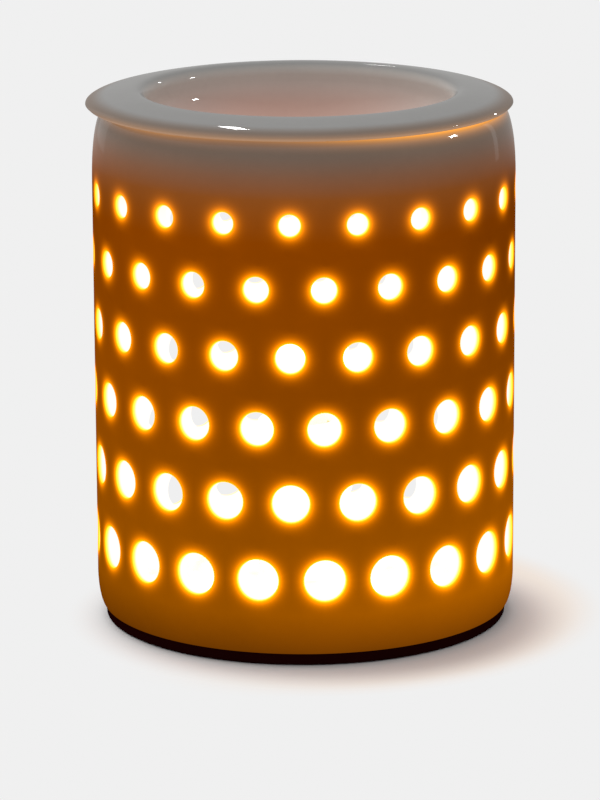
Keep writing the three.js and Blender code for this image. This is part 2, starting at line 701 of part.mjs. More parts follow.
function blockScrew(place) {
  const tip = BORE_Z + INSERT_R - BLOCK_SCREW_BITE;
  return upright(BLOCK_SCREW_R, tip, BLOCK_Z + BLOCK_H - BLOCK_SCREW_SINK).translate(...place);
}

function fixingScrew() {
  const seat = BLOCK_Z + BLOCK_VALLEY_H + SEAT_GAP;
  return headUpScrew(FIXING_HEAD_R, FIXING_HEAD_H, FIXING_SCREW_R, seat, BASE_TOP - FIXING_BITE)
    .translate(0, BLOCK_Y, 0);
}

// From inside the block's insert, round the lampholder, to the outside of the contact's leg
function lead(side) {
  const leadZ = CHAMBER_Z + SEAT_GAP + LEAD_R;
  const endX = LEG_X + CONTACT_T / 2 + SEAT_GAP;
  const bends = LEAD_TURNS.map((turn) => [...polar(LEAD_ROUND_R, turn).toArray(), leadZ]);
  const points = [
    [POLE_X, BLOCK_FRONT_Y + LEAD_IN, BORE_Z],
    [POLE_X, BLOCK_FRONT_Y - LEAD_R, BORE_Z],
    ...bends,
    [HOLDER_R, 0, leadZ],
    [endX, 0, leadZ],
  ].map(([x, y, z]) => new THREE.Vector3(side * x, y, z));
  return wire(points, LEAD_R, STEPS.lead);
}

// Cord gland: a flanged bush across the wall, turned about its own axis and then laid along it

function cordGland() {
  const flat = Math.cos(Math.PI / SHADE_SIDES);
  const outside = SHADE_R * flat + SEAT_GAP;
  const inside = Math.sqrt((SHADE_BORE_R * flat) ** 2 - GLAND_FLANGE_R ** 2) - SEAT_GAP;
  const waist = GLAND_HOLE_R - 2 * SLIP_GAP;
  return ring([
    at(GLAND_BORE_R, inside - GLAND_FLANGE_T),
    at(GLAND_FLANGE_R, inside - GLAND_FLANGE_T),
    at(GLAND_FLANGE_R, inside),
    at(waist, inside),
    at(waist, outside),
    at(GLAND_FLANGE_R, outside),
    at(GLAND_FLANGE_R - GLAND_FLANGE_T / 2, outside + GLAND_FLANGE_T),
    at(GLAND_BORE_R, outside + GLAND_FLANGE_T),
  ], TURNED_SIDES).rotateX(Math.PI / 2).rotateZ(radians(GLAND_TURN)).translate(0, 0, GLAND_Z);
}

// Bulb

function bulbGlass() {
  const flareZ = CAP_TOP + NECK_FLARE_H;
  const skin = (inset) => [
    at(NECK_R - inset, GLASS_Z),
    at(NECK_R - inset, CAP_TOP),
    ...new THREE.CubicBezierCurve(
      at(NECK_R - inset, CAP_TOP),
      at(NECK_R - inset, CAP_TOP + NECK_FLARE_H / 2),
      at(GLASS_R - inset, flareZ - NECK_FLARE_H / 2),
      at(GLASS_R - inset, flareZ),
    ).getPoints(STEPS.neck).slice(1),
    ...arc(0, GLASS_TOP - GLASS_R, GLASS_R - inset, 0, 90, STEPS.crown),
  ];
  const outside = skin(0);
  const inside = skin(GLASS_T).reverse();
  inside[0].setX(0);
  outside[outside.length - 1].setX(0);
  return turned([...inside, ...outside], TURNED_SIDES);
}

function bulbCap() {
  const skirtZ = CAP_TOP - CAP_SKIRT_H;
  const bore = CAP_R - CAP_T;
  return ring([
    at(bore, CAP_Z),
    at(CAP_R, CAP_Z),
    at(CAP_R, skirtZ),
    at(CAP_R + CAP_SKIRT, CAP_TOP),
    at(bore, CAP_TOP),
  ], TURNED_SIDES);
}

function bulbInsulator() {
  return turned([
    at(0, INSULATOR_Z),
    at(CAP_R - INSULATOR_IN, INSULATOR_Z),
    at(CAP_R - CAP_T, INSULATOR_Z + INSULATOR_H),
    at(0, INSULATOR_Z + INSULATOR_H),
  ], TURNED_SIDES);
}

function bulbContact() {
  const cap = quarter(TIP_R, TIP_Z + TIP_H, TIP_R, -TIP_H, 2, STEPS.tip).reverse();
  cap[0].setX(0);
  return turned([...cap, at(0, TIP_Z + TIP_H)], SCREW_SIDES);
}

function bulbStem() {
  const flareR = NECK_R - GLASS_T - SLIP_GAP;
  const flare = new THREE.QuadraticBezierCurve(at(flareR, STEM_Z + GLASS_T), at(STEM_R, STEM_Z + GLASS_T),
    at(STEM_R, STEM_Z + STEM_FLARE_H));
  return turned([
    at(0, STEM_Z),
    at(flareR, STEM_Z),
    ...flare.getPoints(STEPS.stem),
    at(STEM_R, STEM_TOP),
    at(0, STEM_TOP),
  ], SCREW_SIDES);
}

function leadInWire(side) {
  const foot = STEM_TOP + SEAT_GAP;
  const top = FILAMENT_Z - FILAMENT_R - SEAT_GAP;
  return wire([
    new THREE.Vector3(side * WIRE_FOOT, 0, foot),
    new THREE.Vector3(side * WIRE_FOOT, 0, foot + WIRE_SPREAD / 4),
    new THREE.Vector3(side * WIRE_SPREAD, 0, top - WIRE_SPREAD / 4),
    new THREE.Vector3(side * WIRE_SPREAD, 0, top),
  ], WIRE_R, STEPS.leadIn);
}

function filament() {
  const curve = new THREE.QuadraticBezierCurve3(
    new THREE.Vector3(-WIRE_SPREAD, 0, FILAMENT_Z),
    new THREE.Vector3(0, 2 * FILAMENT_BOW, FILAMENT_Z),
    new THREE.Vector3(WIRE_SPREAD, 0, FILAMENT_Z),
  );
  return wire(curve.getPoints(STEPS.filament), FILAMENT_R, STEPS.filament);
}

function filamentSupport(side) {
  const hold = FILAMENT_BOW * (1 - SUPPORT_SHARE ** 2);
  const foot = new THREE.Vector3(side * WIRE_FOOT * SUPPORT_SHARE, WIRE_FOOT, STEM_TOP + SEAT_GAP);
  const top = new THREE.Vector3(side * WIRE_SPREAD * SUPPORT_SHARE, hold, FILAMENT_Z - FILAMENT_R - SEAT_GAP);
  const bend = new THREE.Vector3(foot.x, foot.y, foot.z + WIRE_SPREAD / 2);
  return wire([foot, bend, top], WIRE_R, STEPS.support);
}

// Assembly

const lamp = new THREE.Group();

function place(name, geometry, material) {
  const mesh = new THREE.Mesh(geometry, material);
  mesh.name = name;
  lamp.add(mesh);
}

place('shade', shade(), porcelain());
place('dish', dish(), porcelain());
place('base_plate', basePlate(), darkPlastic());
for (const [corner, angle] of Object.entries(footAngles)) {
  place(`foot_${corner}`, foot(angle), rubber());
}
place('bridge_strap', bridgeStrap(), steel());
place('lampholder_body', lampholderBody(), ceramic());
place('thread_sleeve', threadSleeve(), brass());
place('live_contact', liveContact(), brass());
place('neutral_contact', neutralContact(), brass());
place('holder_screw', holderScrew(), steel());
place('holder_nut', holderNut(), steel());
place('terminal_block', terminalBlock(), nylon());
place('block_fixing_screw', fixingScrew(), steel());
place('cord_gland', cordGland(), rubber());
for (const [name, side] of Object.entries(SIDES)) {
  place(`strap_pad_${name}`, strapPad(side), rubber());
  place(`base_screw_${name}`, baseScrew(side), steel());
  place(`base_nut_${name}`, baseNut(side), steel());
  place(`terminal_screw_${name}`, terminalScrew(side), steel());
  place(`block_insert_${name}`, blockInsert(side), brass());
  place(`lead_${name}`, lead(side), leadSleeving());
  place(`lead_in_wire_${name}`, leadInWire(side), nickel());
  place(`filament_support_${name}`, filamentSupport(side), nickel());
  blockScrewPlaces(side).forEach((spot, end) => {
    place(`block_screw_${end ? 'back' : 'front'}_${name}`, blockScrew(spot), steel());
  });
}
place('bulb_glass', bulbGlass(), clearGlass());
place('bulb_cap', bulbCap(), nickel());
place('bulb_insulator', bulbInsulator(), blackGlass());
place('bulb_contact', bulbContact(), nickel());
place('bulb_stem', bulbStem(), clearGlass());
place('filament', filament(), tungsten());

export default lamp;
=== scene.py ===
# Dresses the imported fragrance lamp: glowing pierced porcelain, a glazed dish and the fittings inside.
import math
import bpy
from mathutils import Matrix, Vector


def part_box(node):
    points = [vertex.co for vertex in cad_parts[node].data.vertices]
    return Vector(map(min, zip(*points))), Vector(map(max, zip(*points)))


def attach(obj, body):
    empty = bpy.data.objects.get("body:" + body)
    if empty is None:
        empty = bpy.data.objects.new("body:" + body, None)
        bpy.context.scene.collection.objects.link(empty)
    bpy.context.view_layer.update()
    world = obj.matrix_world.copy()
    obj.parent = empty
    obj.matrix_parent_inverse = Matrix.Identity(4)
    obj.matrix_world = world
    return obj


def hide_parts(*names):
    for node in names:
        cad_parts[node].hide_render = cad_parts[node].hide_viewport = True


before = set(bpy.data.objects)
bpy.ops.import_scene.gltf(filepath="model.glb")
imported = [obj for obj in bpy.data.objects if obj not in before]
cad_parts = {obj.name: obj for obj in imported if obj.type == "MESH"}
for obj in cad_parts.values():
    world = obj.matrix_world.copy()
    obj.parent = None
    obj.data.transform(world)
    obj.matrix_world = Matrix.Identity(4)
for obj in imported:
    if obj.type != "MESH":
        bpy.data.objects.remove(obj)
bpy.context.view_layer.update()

from types import SimpleNamespace

import bmesh
import bpy
from bpy.props import FloatProperty, FloatVectorProperty, IntProperty, PointerProperty
from mathutils import Matrix, Vector

bl_info = {
    "name": "Fragrance lamp",
    "version": (1, 0, 0),
    "blender": (4, 5, 0),
    "location": "View3D > Sidebar > Lamp",
    "description": "Builds the porcelain, the fittings and the stage of a lit fragrance lamp",
    "category": "Object",
}

MM = 0.001


def measure(node):
    """Lowest level, highest level and half the width of one of the part's solids, in millimetres."""
    low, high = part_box(node)
    half_width = (high.x - low.x) / 2
    return [round(size / MM, 2) for size in (low.z, high.z, half_width)]


# Sizes of the part's solids in millimetres
SHADE_FOOT, CREST_Z, _ = measure("shade")
_, DISH_TOP, DISH_R = measure("dish")
_, BOSS_TOP, BASE_R = measure("base_plate")
_, FOOT_TOP, FOOT_R = measure("foot_front_right")
SCREW_Z, SCREW_TIP, SCREW_HEAD_R = measure("base_screw_right")
NUT_Z, NUT_TOP, _ = measure("base_nut_right")
HOLDER_Z, HOLDER_TOP, HOLDER_R = measure("lampholder_body")
HOLDER_NUT_Z, HOLDER_NUT_TOP, HOLDER_NUT_R = measure("holder_nut")
TERMINAL_LOW, TERMINAL_HIGH, _ = measure("terminal_screw_right")
SLEEVE_Z, SLEEVE_TOP, _ = measure("thread_sleeve")
CAP_Z, CAP_TOP, _ = measure("bulb_cap")
GLASS_Z, GLASS_TOP, GLASS_R = measure("bulb_glass")
STEM_Z, STEM_TOP, _ = measure("bulb_stem")
COIL_LOW, COIL_HIGH, _ = measure("filament")
GLAND_LOW, GLAND_HIGH, _ = measure("cord_gland")

# Sizes that follow from them or that no box shows, in millimetres and degrees
SEAT_GAP = 0.3
DISH_SEAT = CREST_Z + SEAT_GAP
SHOULDER_Z = CREST_Z - 22.0
SHOULDER_IN = 5.5
SHOULDER_POWER = 2.4
MOUTH_LIP = 2.1
MOUTH_EDGE = 2.5
HEEL_TOP = SHADE_FOOT + 10.5
HEEL_IN = 1.7
FLOOR_TOP = SHADE_FOOT + 4.0
FLOOR_WIDTH = 16.0
RIM_WIDTH = 13.8
ROLL_R = 3.5
BOWL_DEPTH = 22.0
BOWL_POWER = 2.3
DISH_WALL = 4.2
LIP_Z = DISH_SEAT - 0.9
LIP_BEAD = 1.0
BASE_TOP = SHADE_FOOT - SEAT_GAP
BASE_UNDER = 0.25
SPIGOT_R = 39.7
BOSS_R = 5.0
FOOT_RING = 48.0
SCREW_X = 30.0
SCREW_R = 2.0
SCREW_HEAD_TOP = SCREW_Z + 2.2
WELL_Z = SLEEVE_Z - SEAT_GAP
PIT_Z = WELL_Z - 6.0
TERMINAL_Z = (TERMINAL_LOW + TERMINAL_HIGH) / 2
SLEEVE_WALL = 0.7
LEAD_R = 1.1
FILAMENT_Z = (COIL_LOW + COIL_HIGH) / 2
GLAND_Z = (GLAND_LOW + GLAND_HIGH) / 2
GLAND_TURN = 176.2
LAMPLIGHT = (1.0, 0.9, 0.68)


# Node trees

def operation(kind, swapped=False):
    """A method that adds one Math node; swapped puts the other value first."""
    def apply(self, *values):
        order = (*values, self) if swapped else (self, *values)
        return self.graph.add("ShaderNodeMath", dict(enumerate(order)), operation=kind)
    return apply


class Value:
    """A socket of a node tree that can be used in an expression."""

    def __init__(self, graph, link):
        self.graph = graph
        self.link = link

    __add__ = operation("ADD")
    __radd__ = operation("ADD", swapped=True)
    __sub__ = operation("SUBTRACT")
    __rsub__ = operation("SUBTRACT", swapped=True)
    __mul__ = operation("MULTIPLY")
    __rmul__ = operation("MULTIPLY", swapped=True)
    __truediv__ = operation("DIVIDE")
    __rtruediv__ = operation("DIVIDE", swapped=True)
    __pow__ = operation("POWER")
    __mod__ = operation("MODULO")
    __lt__ = operation("LESS_THAN")
    __abs__ = operation("ABSOLUTE")
    most = operation("MAXIMUM")
    least = operation("MINIMUM")
    floor = operation("FLOOR")
    sin = operation("SINE")
    cos = operation("COSINE")
    arctan2 = operation("ARCTAN2")
    exp = operation("EXPONENT")

    def __neg__(self):
        return self * -1.0

    def other(self, key):
        """Another output of the same node."""
        return Value(self.graph, self.link.node.outputs[key])

    def within(self, low, high):
        return self.most(low).least(high)

    def smooth(self, start, end):
        """Rises softly from 0 at start to 1 at end, or falls where end is lower."""
        sockets = {"Value": self, "From Min": start, "From Max": end}
        return self.graph.add("ShaderNodeMapRange", sockets, interpolation_type="SMOOTHSTEP")


def diagonal(*sides):
    """Length of the diagonal over sides that are values of a tree."""
    total = sides[0] * sides[0]
    for side in sides[1:]:
        total = total + side * side
    return total ** 0.5


class Graph:
    """A node tree whose nodes are all added by one method."""

    def __init__(self, tree):
        self.tree = tree

    def add(self, kind, sockets=None, out=0, **settings):
        """A new node: its settings are set first, then the values or links of its sockets."""
        node = self.tree.nodes.new(kind)
        for name, choice in settings.items():
            if name == "stops":
                self.set_stops(node.color_ramp, choice)
            else:
                setattr(node, name, choice)
        for key, value in (sockets or {}).items():
            for one in value if isinstance(value, list) else [value]:
                if isinstance(one, Value):
                    self.tree.links.new(one.link, node.inputs[key])
                else:
                    node.inputs[key].default_value = one
        return Value(self, node.outputs[out]) if node.outputs else node

    @staticmethod
    def set_stops(ramp, stops):
        while len(ramp.elements) < len(stops):
            ramp.elements.new(1.0)
        for element, (position, colour) in zip(ramp.elements, stops):
            element.position = position
            element.color = (*colour, 1.0)

    def split(self, vector):
        x = self.add("ShaderNodeSeparateXYZ", {0: vector})
        return x, x.other(1), x.other(2)

    def join(self, x, y, z):
        return self.add("ShaderNodeCombineXYZ", {0: x, 1: y, 2: z})

    def mix(self, share, first, second):
        first, second = (one if isinstance(one, Value) else (*one, 1.0) for one in (first, second))
        return self.add("ShaderNodeMix", {0: share, 6: first, 7: second}, 2, data_type="RGBA")

    def tint(self, colour, strength):
        """A colour or a vector times a number."""
        return self.add("ShaderNodeVectorMath", {0: colour, "Scale": strength}, operation="SCALE")

    def sum(self, total, *colours):
        for colour in colours:
            total = self.add("ShaderNodeVectorMath", {0: total, 1: colour}, operation="ADD")
        return total

    def named(self, name):
        return self.add("GeometryNodeInputNamedAttribute", {"Name": name}, data_type="FLOAT")

    def store(self, geometry, name, value):
        sockets = {"Geometry": geometry, "Name": name, "Value": value}
        return self.add("GeometryNodeStoreNamedAttribute", sockets, data_type="FLOAT", domain="POINT")

    def points(self, count):
        return self.add("GeometryNodePoints", {"Count": count})

    def move(self, geometry, x, y, z):
        position = self.join(x, y, z)
        return self.add("GeometryNodeSetPosition", {"Geometry": geometry, "Position": position})

    def nudge(self, geometry, offset):
        return self.add("GeometryNodeSetPosition", {"Geometry": geometry, "Offset": offset})

    def wrap(self, geometry, radius, angle, height):
        """Bends a flat field round the Z axis; angle 0 is the front."""
        return self.move(geometry, radius * angle.sin(), -(radius * angle.cos()), height)

    def weld(self, geometry, distance):
        return self.add("GeometryNodeMergeByDistance", {"Geometry": geometry, "Distance": distance})

    def repeat(self, geometry, points):
        sockets = {"Points": points, "Instance": geometry}
        return self.add("GeometryNodeInstanceOnPoints", sockets)

    def realize(self, geometry):
        return self.add("GeometryNodeRealizeInstances", {"Geometry": geometry})

    def finish_with(self, geometry, material):
        """Ends a tree that makes geometry."""
        smooth = self.add("GeometryNodeSetShadeSmooth", {"Geometry": geometry})
        plain_mesh = self.realize(smooth)
        sockets = {"Geometry": plain_mesh, "Material": material}
        self.add("NodeGroupOutput", {0: self.add("GeometryNodeSetMaterial", sockets)})


def growth(name, **inputs):
    """A new Geometry Nodes tree with a geometry input, the given numbers and a finish."""
    tree = bpy.data.node_groups.new(name, "GeometryNodeTree")
    tree.interface.new_socket("Geometry", in_out="OUTPUT", socket_type="NodeSocketGeometry")
    tree.interface.new_socket("Geometry", in_out="INPUT", socket_type="NodeSocketGeometry")
    for label, default in inputs.items():
        kind = "NodeSocketInt" if isinstance(default, int) else "NodeSocketFloat"
        socket = tree.interface.new_socket(label, in_out="INPUT", socket_type=kind)
        socket.default_value = default
    tree.interface.new_socket("finish", in_out="INPUT", socket_type="NodeSocketMaterial")
    graph = Graph(tree)
    node = tree.nodes.new("NodeGroupInput")
    sockets = {socket.name.lower(): Value(graph, socket) for socket in node.outputs if socket.name}
    return graph, SimpleNamespace(**sockets)


def shared(name, build):
    """A tree that is built once in a file."""
    return bpy.data.node_groups.get(name) or build(name)


def turned_tree(name):
    """Turns a profile about Z, with an optional rolled thread and a slight hand-made waver."""
    graph, given = growth(name, sides=96, thread=0.0, pitch=0.00282, phase=0.0, thread_from=0.0,
                          thread_to=0.0, waver=0.0, waver_scale=20.0)
    profile = given.geometry
    count = graph.add("GeometryNodeAttributeDomainSize", {"Geometry": profile})
    grid = graph.add("GeometryNodeMeshGrid", {"Vertices X": given.sides + 1, "Vertices Y": count})
    index = graph.add("GeometryNodeInputIndex")
    column = (index / count).floor()
    place = graph.add("GeometryNodeInputPosition")
    sample = {"Geometry": profile, "Value": place, "Index": index - column * count}
    spot = graph.add("GeometryNodeSampleIndex", sample, data_type="FLOAT_VECTOR")
    radius, _, height = graph.split(spot)
    angle = column * math.tau / given.sides
    run_out = given.pitch * 0.75
    starts = height.smooth(given.thread_from, given.thread_from + run_out)
    ends = height.smooth(given.thread_to, given.thread_to - run_out)
    wave = (height * math.tau / given.pitch - angle + given.phase).cos()
    threaded = radius + wave * starts * ends * given.thread
    piece = graph.wrap(grid, threaded, angle, height)
    sockets = {"Vector": place, "Scale": given.waver_scale, "Detail": 1.0}
    noise = graph.add("ShaderNodeTexNoise", sockets) - 0.5
    piece = graph.nudge(piece, graph.join(0.0, 0.0, noise * given.waver))
    graph.finish_with(graph.weld(piece, distance=1e-6), given.finish)
    return graph.tree


def ring_tree(name):
    """Sets copies of a small piece round a circle."""
    graph, given = growth(name, count=4, radius=0.03, start=0.0)
    index = graph.add("GeometryNodeInputIndex")
    angle = given.start + index * math.tau / given.count
    points = graph.points(given.count)
    points = graph.move(points, given.radius * angle.cos(), given.radius * angle.sin(), 0.0)
    graph.finish_with(graph.repeat(given.geometry, points), given.finish)
    return graph.tree


def tube_tree(name):
    """Sweeps a round section along a line of points, plain or wound into a coil round it."""
    graph, given = growth(name, sides=12, radius=0.001, winds=0.0, winding_radius=0.0)
    line = graph.add("GeometryNodeMeshToCurve", {"Mesh": given.geometry})
    tangent = graph.add("GeometryNodeInputTangent")
    normal = graph.add("GeometryNodeInputNormal")
    side = graph.add("ShaderNodeVectorMath", {0: tangent, 1: normal}, operation="CROSS_PRODUCT")
    turn = graph.add("GeometryNodeSplineParameter") * given.winds * math.tau
    over = graph.tint(normal, turn.cos() * given.winding_radius)
    across = graph.tint(side, turn.sin() * given.winding_radius)
    line = graph.nudge(line, graph.sum(over, across))
    sockets = {"Resolution": given.sides, "Radius": given.radius}
    section = graph.add("GeometryNodeCurvePrimitiveCircle", sockets)
    sockets = {"Curve": line, "Profile Curve": section, "Fill Caps": True}
    graph.finish_with(graph.add("GeometryNodeCurveToMesh", sockets), given.finish)
    return graph.tree


# The pierced wall

def pierced_wall_tree(name):
    """Repeats one hole's cell in staggered rows, wraps them round the axis and joins shoulder and heel."""
    graph, given = growth(name, columns=20, rows=6, front_turn=0.0, top_row=0.125, bottom_row=0.025,
                          row_spread=0.125, top_hole=0.006, bottom_hole=0.0116, radius=0.06, wall=0.004,
                          lip=0.0006, heel_top=HEEL_TOP * MM, shoulder_z=SHOULDER_Z * MM,
                          shoulder_rise=(CREST_Z - SHOULDER_Z) * MM, shoulder_in=SHOULDER_IN * MM,
                          shoulder_power=SHOULDER_POWER, gland_turn=math.radians(GLAND_TURN),
                          gland_z=GLAND_Z * MM, gland_radius=0.0054)
    parts = {"Geometry": given.geometry, "Selection": graph.named("strip")}
    strips = graph.add("GeometryNodeSeparateGeometry", parts, domain="POINT")
    cells = strips.other(1)
    index = graph.add("GeometryNodeInputIndex")
    step = math.tau / given.columns
    cells = pierced_cells(graph, given, cells, index, step)
    strips = end_strips(graph, given, strips, index, step)
    whole = graph.add("GeometryNodeJoinGeometry", {"Geometry": [cells, strips]})
    sockets = {"Mesh 1": graph.weld(whole, distance=1e-5), "Mesh 2": gland_bore(graph, given)}
    whole = graph.add("GeometryNodeMeshBoolean", sockets, operation="DIFFERENCE", solver="MANIFOLD")
    graph.finish_with(whole, given.finish)
    return graph.tree


def staggered_points(graph, given, index, step):
    """One point per hole, with its row and its turn."""
    row = (index / given.columns).floor()
    column = index - row * given.columns
    points = graph.points(given.columns * given.rows)
    points = graph.store(points, "row", row)
    return graph.store(points, "turn", given.front_turn + (column + (row % 2.0) * 0.5) * step)


def row_heights(given, share, one_row):
    """Height of a row's centres and of the borders above and below it."""
    fall = given.top_row - given.bottom_row

    def height(at):
        return given.top_row - fall * at * (1.0 - given.row_spread + given.row_spread * at)

    middle = height(share)
    above = (middle + height(share - one_row)) * 0.5
    below = ((middle + height(share + one_row)) * 0.5).most(given.heel_top)
    return middle, above, below


def shoulder_inset(given, height):
    """How far the shoulder draws the wall in."""
    rise = ((height - given.shoulder_z) / given.shoulder_rise).within(0.0, 0.999)
    power = given.shoulder_power
    return given.shoulder_in * (1.0 - (1.0 - rise ** power) ** (1.0 / power))


def pierced_cells(graph, given, cell, index, step):
    """All the holes, each in its own field of the wall."""
    cells = graph.realize(graph.repeat(cell, staggered_points(graph, given, index, step)))
    one_row = 1.0 / (given.rows - 1)
    share = graph.named("row") * one_row
    middle, above, below = row_heights(given, share, one_row)
    hole = (given.top_hole + (given.bottom_hole - given.top_hole) * share) * 0.5

    # The way round a cell runs from 0 to 4, with a corner of its border at every whole number
    way = graph.named("way")
    direction = (way - 0.5) * (math.pi / 2)
    across = ((abs(way - 2.5) - 1.0) * 2.0).within(-1.0, 1.0) * step * 0.5 * given.radius
    upward = ((1.0 - abs(way - 1.5)) * 2.0).within(-1.0, 1.0)
    border = upward.most(0.0) * (above - middle) + upward.least(0.0) * (middle - below)
    spread = graph.named("spread")
    rim = hole + graph.named("lip") * given.lip
    x = rim * direction.cos() * (1.0 - spread) + across * spread
    z = rim * direction.sin() * (1.0 - spread) + border * spread
    depth = graph.named("depth")
    cells = graph.store(cells, "from_hole", diagonal(x, z) - hole)
    cells = graph.store(cells, "inward", depth)
    height = middle + z
    radius = given.radius - shoulder_inset(given, height) - depth * given.wall
    return graph.wrap(cells, radius, graph.named("turn") + x / given.radius, height)


def end_strips(graph, given, strip, index, step):
    """The shoulder and the heel, one strip of each per column."""
    points = graph.points(given.columns)
    points = graph.store(points, "turn", given.front_turn + index * step)
    strips = graph.realize(graph.repeat(strip, points))
    strips = graph.store(strips, "inward", graph.named("depth"))
    share, radius, height = graph.split(graph.add("GeometryNodeInputPosition"))
    at_heel = height < given.bottom_row
    staggered = ((given.rows - 1) % 2.0) * at_heel
    across = (abs(share) + staggered * (0.5 - abs(share) * 2.0)) * step * given.radius
    upward = height - given.top_row + at_heel * (given.top_row - given.bottom_row)
    hole = (given.top_hole + at_heel * (given.bottom_hole - given.top_hole)) * 0.5
    strips = graph.store(strips, "from_hole", diagonal(across, upward) - hole)
    return graph.wrap(strips, radius, graph.named("turn") + share * step, height)


def gland_bore(graph, given):
    """A cylinder where the cord gland passes the wall."""
    turn = given.gland_turn
    sockets = {"Vertices": 48, "Radius": given.gland_radius, "Depth": given.wall * 4.0}
    bore = graph.add("GeometryNodeMeshCylinder", sockets)
    reach = given.radius - given.wall * 0.5
    where = graph.join(reach * turn.sin(), -(reach * turn.cos()), given.gland_z)
    angles = graph.join(math.pi / 2, 0.0, turn)
    turned_to = graph.add("FunctionNodeEulerToRotation", {0: angles})
    sockets = {"Geometry": bore, "Translation": where, "Rotation": turned_to}
    return graph.add("GeometryNodeTransform", sockets)


# Profiles in millimetres

def quarter(r, z, inward, rise, power, steps):
    """A quarter of a superellipse that starts straight along Z and ends straight along R."""
    points = []
    for step in range(steps + 1):
        angle = step / steps * math.pi / 2
        across = max(math.cos(angle), 0.0) ** (2 / power)
        along = max(math.sin(angle), 0.0) ** (2 / power)
        points.append((r - inward * (1 - across), z + rise * along))
    return points


def arc(r, z, radius, start, end, steps):
    """Part of a circle between two angles in degrees."""
    angles = [math.radians(start + (end - start) * step / steps) for step in range(steps + 1)]
    return [(r + radius * math.cos(angle), z + radius * math.sin(angle)) for angle in angles]


def bent(start, corner, end, steps):
    """A quadratic curve between two points."""
    points = []
    for step in range(steps + 1):
        t = step / steps
        weights = ((1 - t) ** 2, 2 * t * (1 - t), t * t)
        near = list(zip(weights, (start, corner, end)))
        points.append(tuple(sum(weight * point[axis] for weight, point in near) for axis in range(2)))
    return points


def upright(r, start, end, steps=90):
    """A straight wall with points close enough together to carry a thread."""
    return [(r, start + (end - start) * step / steps) for step in range(steps + 1)]


def softened(corners, steps=4):
    """A profile whose corners (r, z, rounding) are rounded."""
    points = []
    for index, (r, z, rounding) in enumerate(corners):
        here = Vector((r, z))
        if not rounding:
            points.append((r, z))
            continue
        before = (Vector(corners[index - 1][:2]) - here).normalized() * rounding
        after = (Vector(corners[(index + 1) % len(corners)][:2]) - here).normalized() * rounding
        points += bent(here + before, here, here + after, steps)
    return points


def smooth_route(points, steps=10):
    """A smooth line through points."""
    line = []
    ends = [points[0], *points, points[-1]]
    for index in range(1, len(ends) - 2):
        a, b, c, d = (Vector(point) for point in ends[index - 1:index + 3])
        for step in range(steps):
            t = step / steps
            square = (2 * a - 5 * b + 4 * c - d) * t ** 2
            cube = (3 * b - a - 3 * c + d) * t ** 3
            line.append(0.5 * (2 * b + (c - a) * t + square + cube))
    return [*line, Vector(points[-1])]


# Meshes

def placed(name, data):
    """A new object in the scene."""
    piece = bpy.data.objects.new(name, data)
    bpy.context.scene.collection.objects.link(piece)
    return piece


def line_mesh(name, points):
    """A line of points in millimetres, as a mesh of edges."""
    mesh = bpy.data.meshes.new(name)
    edges = [(i, i + 1) for i in range(len(points) - 1)]
    mesh.from_pydata([[axis * MM for axis in point] for point in points], edges, [])
    return mesh


def grown(name, mesh, tree, **values):
    """Runs a tree on a mesh and returns an object that holds the result as a plain mesh."""
    piece = placed(name, mesh)
    modifier = piece.modifiers.new("shape", "NODES")
    modifier.node_group = tree
    for item in tree.interface.items_tree:
        if item.in_out == "INPUT" and item.name in values:
            modifier[item.identifier] = values[item.name]
    return plain(piece)


def turned(name, points, finish, sides, ring=False, **values):
    """A piece turned from a profile; a ring's profile is closed and does not touch the axis."""
    whole = points + points[:1] if ring else points
    profile = line_mesh(name, [(r, 0.0, z) for r, z in whole])
    tree = shared("Turned piece", turned_tree)
    return grown(name, profile, tree, finish=finish, sides=sides, **values)


def swept(name, points, finish, **values):
    """A tube or a coil along a line of points."""
    return grown(name, line_mesh(name, points), shared("Tube", tube_tree), finish=finish, **values)


def ringed(name, piece, finish, **values):
    """Copies of a piece round a circle, in one mesh; the piece itself is used up."""
    mesh = piece.data
    bpy.data.objects.remove(piece)
    tree = shared("Pieces round a circle", ring_tree)
    return grown(name, mesh, tree, finish=finish, **values)


def plain(piece):
    """Makes a piece's modifiers part of its mesh."""
    bpy.context.view_layer.update()
    graph = bpy.context.evaluated_depsgraph_get()
    mesh = bpy.data.meshes.new_from_object(piece.evaluated_get(graph), preserve_all_data_layers=True,
                                           depsgraph=graph)
    piece.modifiers.clear()
    old = piece.data
    piece.data = mesh
    if len(mesh.materials) > 1 and mesh.materials[0] is None:
        mesh.materials.pop(index=0)
    mesh.name = piece.name
    bpy.data.meshes.remove(old)
    return piece


def carved(piece, cutters, kind="DIFFERENCE"):
    """Cuts other objects out of a piece, or joins them to it, and removes them."""
    for cutter in cutters:
        modifier = piece.modifiers.new("cut", "BOOLEAN")
        modifier.operation = kind
        modifier.solver = "EXACT"
        modifier.object = cutter
    plain(piece)
    for cutter in cutters:
        mesh = cutter.data
        bpy.data.objects.remove(cutter)
        bpy.data.meshes.remove(mesh)
    return piece


def solid(name, fill):
    """An object whose mesh is filled by a function."""
    mesh = bpy.data.meshes.new(name)
    work = bmesh.new()
    fill(work)
    work.to_mesh(mesh)
    work.free()
    return placed(name, mesh)


def rod(radius, z0, z1, x=0.0, y=0.0):
    """An upright cylinder in millimetres."""
    place = Matrix.Translation(Vector((x, y, (z0 + z1) / 2)) * MM)

    def fill(work):
        bmesh.ops.create_cone(work, cap_ends=True, segments=48, radius1=radius * MM, radius2=radius * MM,
                              depth=(z1 - z0) * MM, matrix=place)
    return solid("rod", fill)


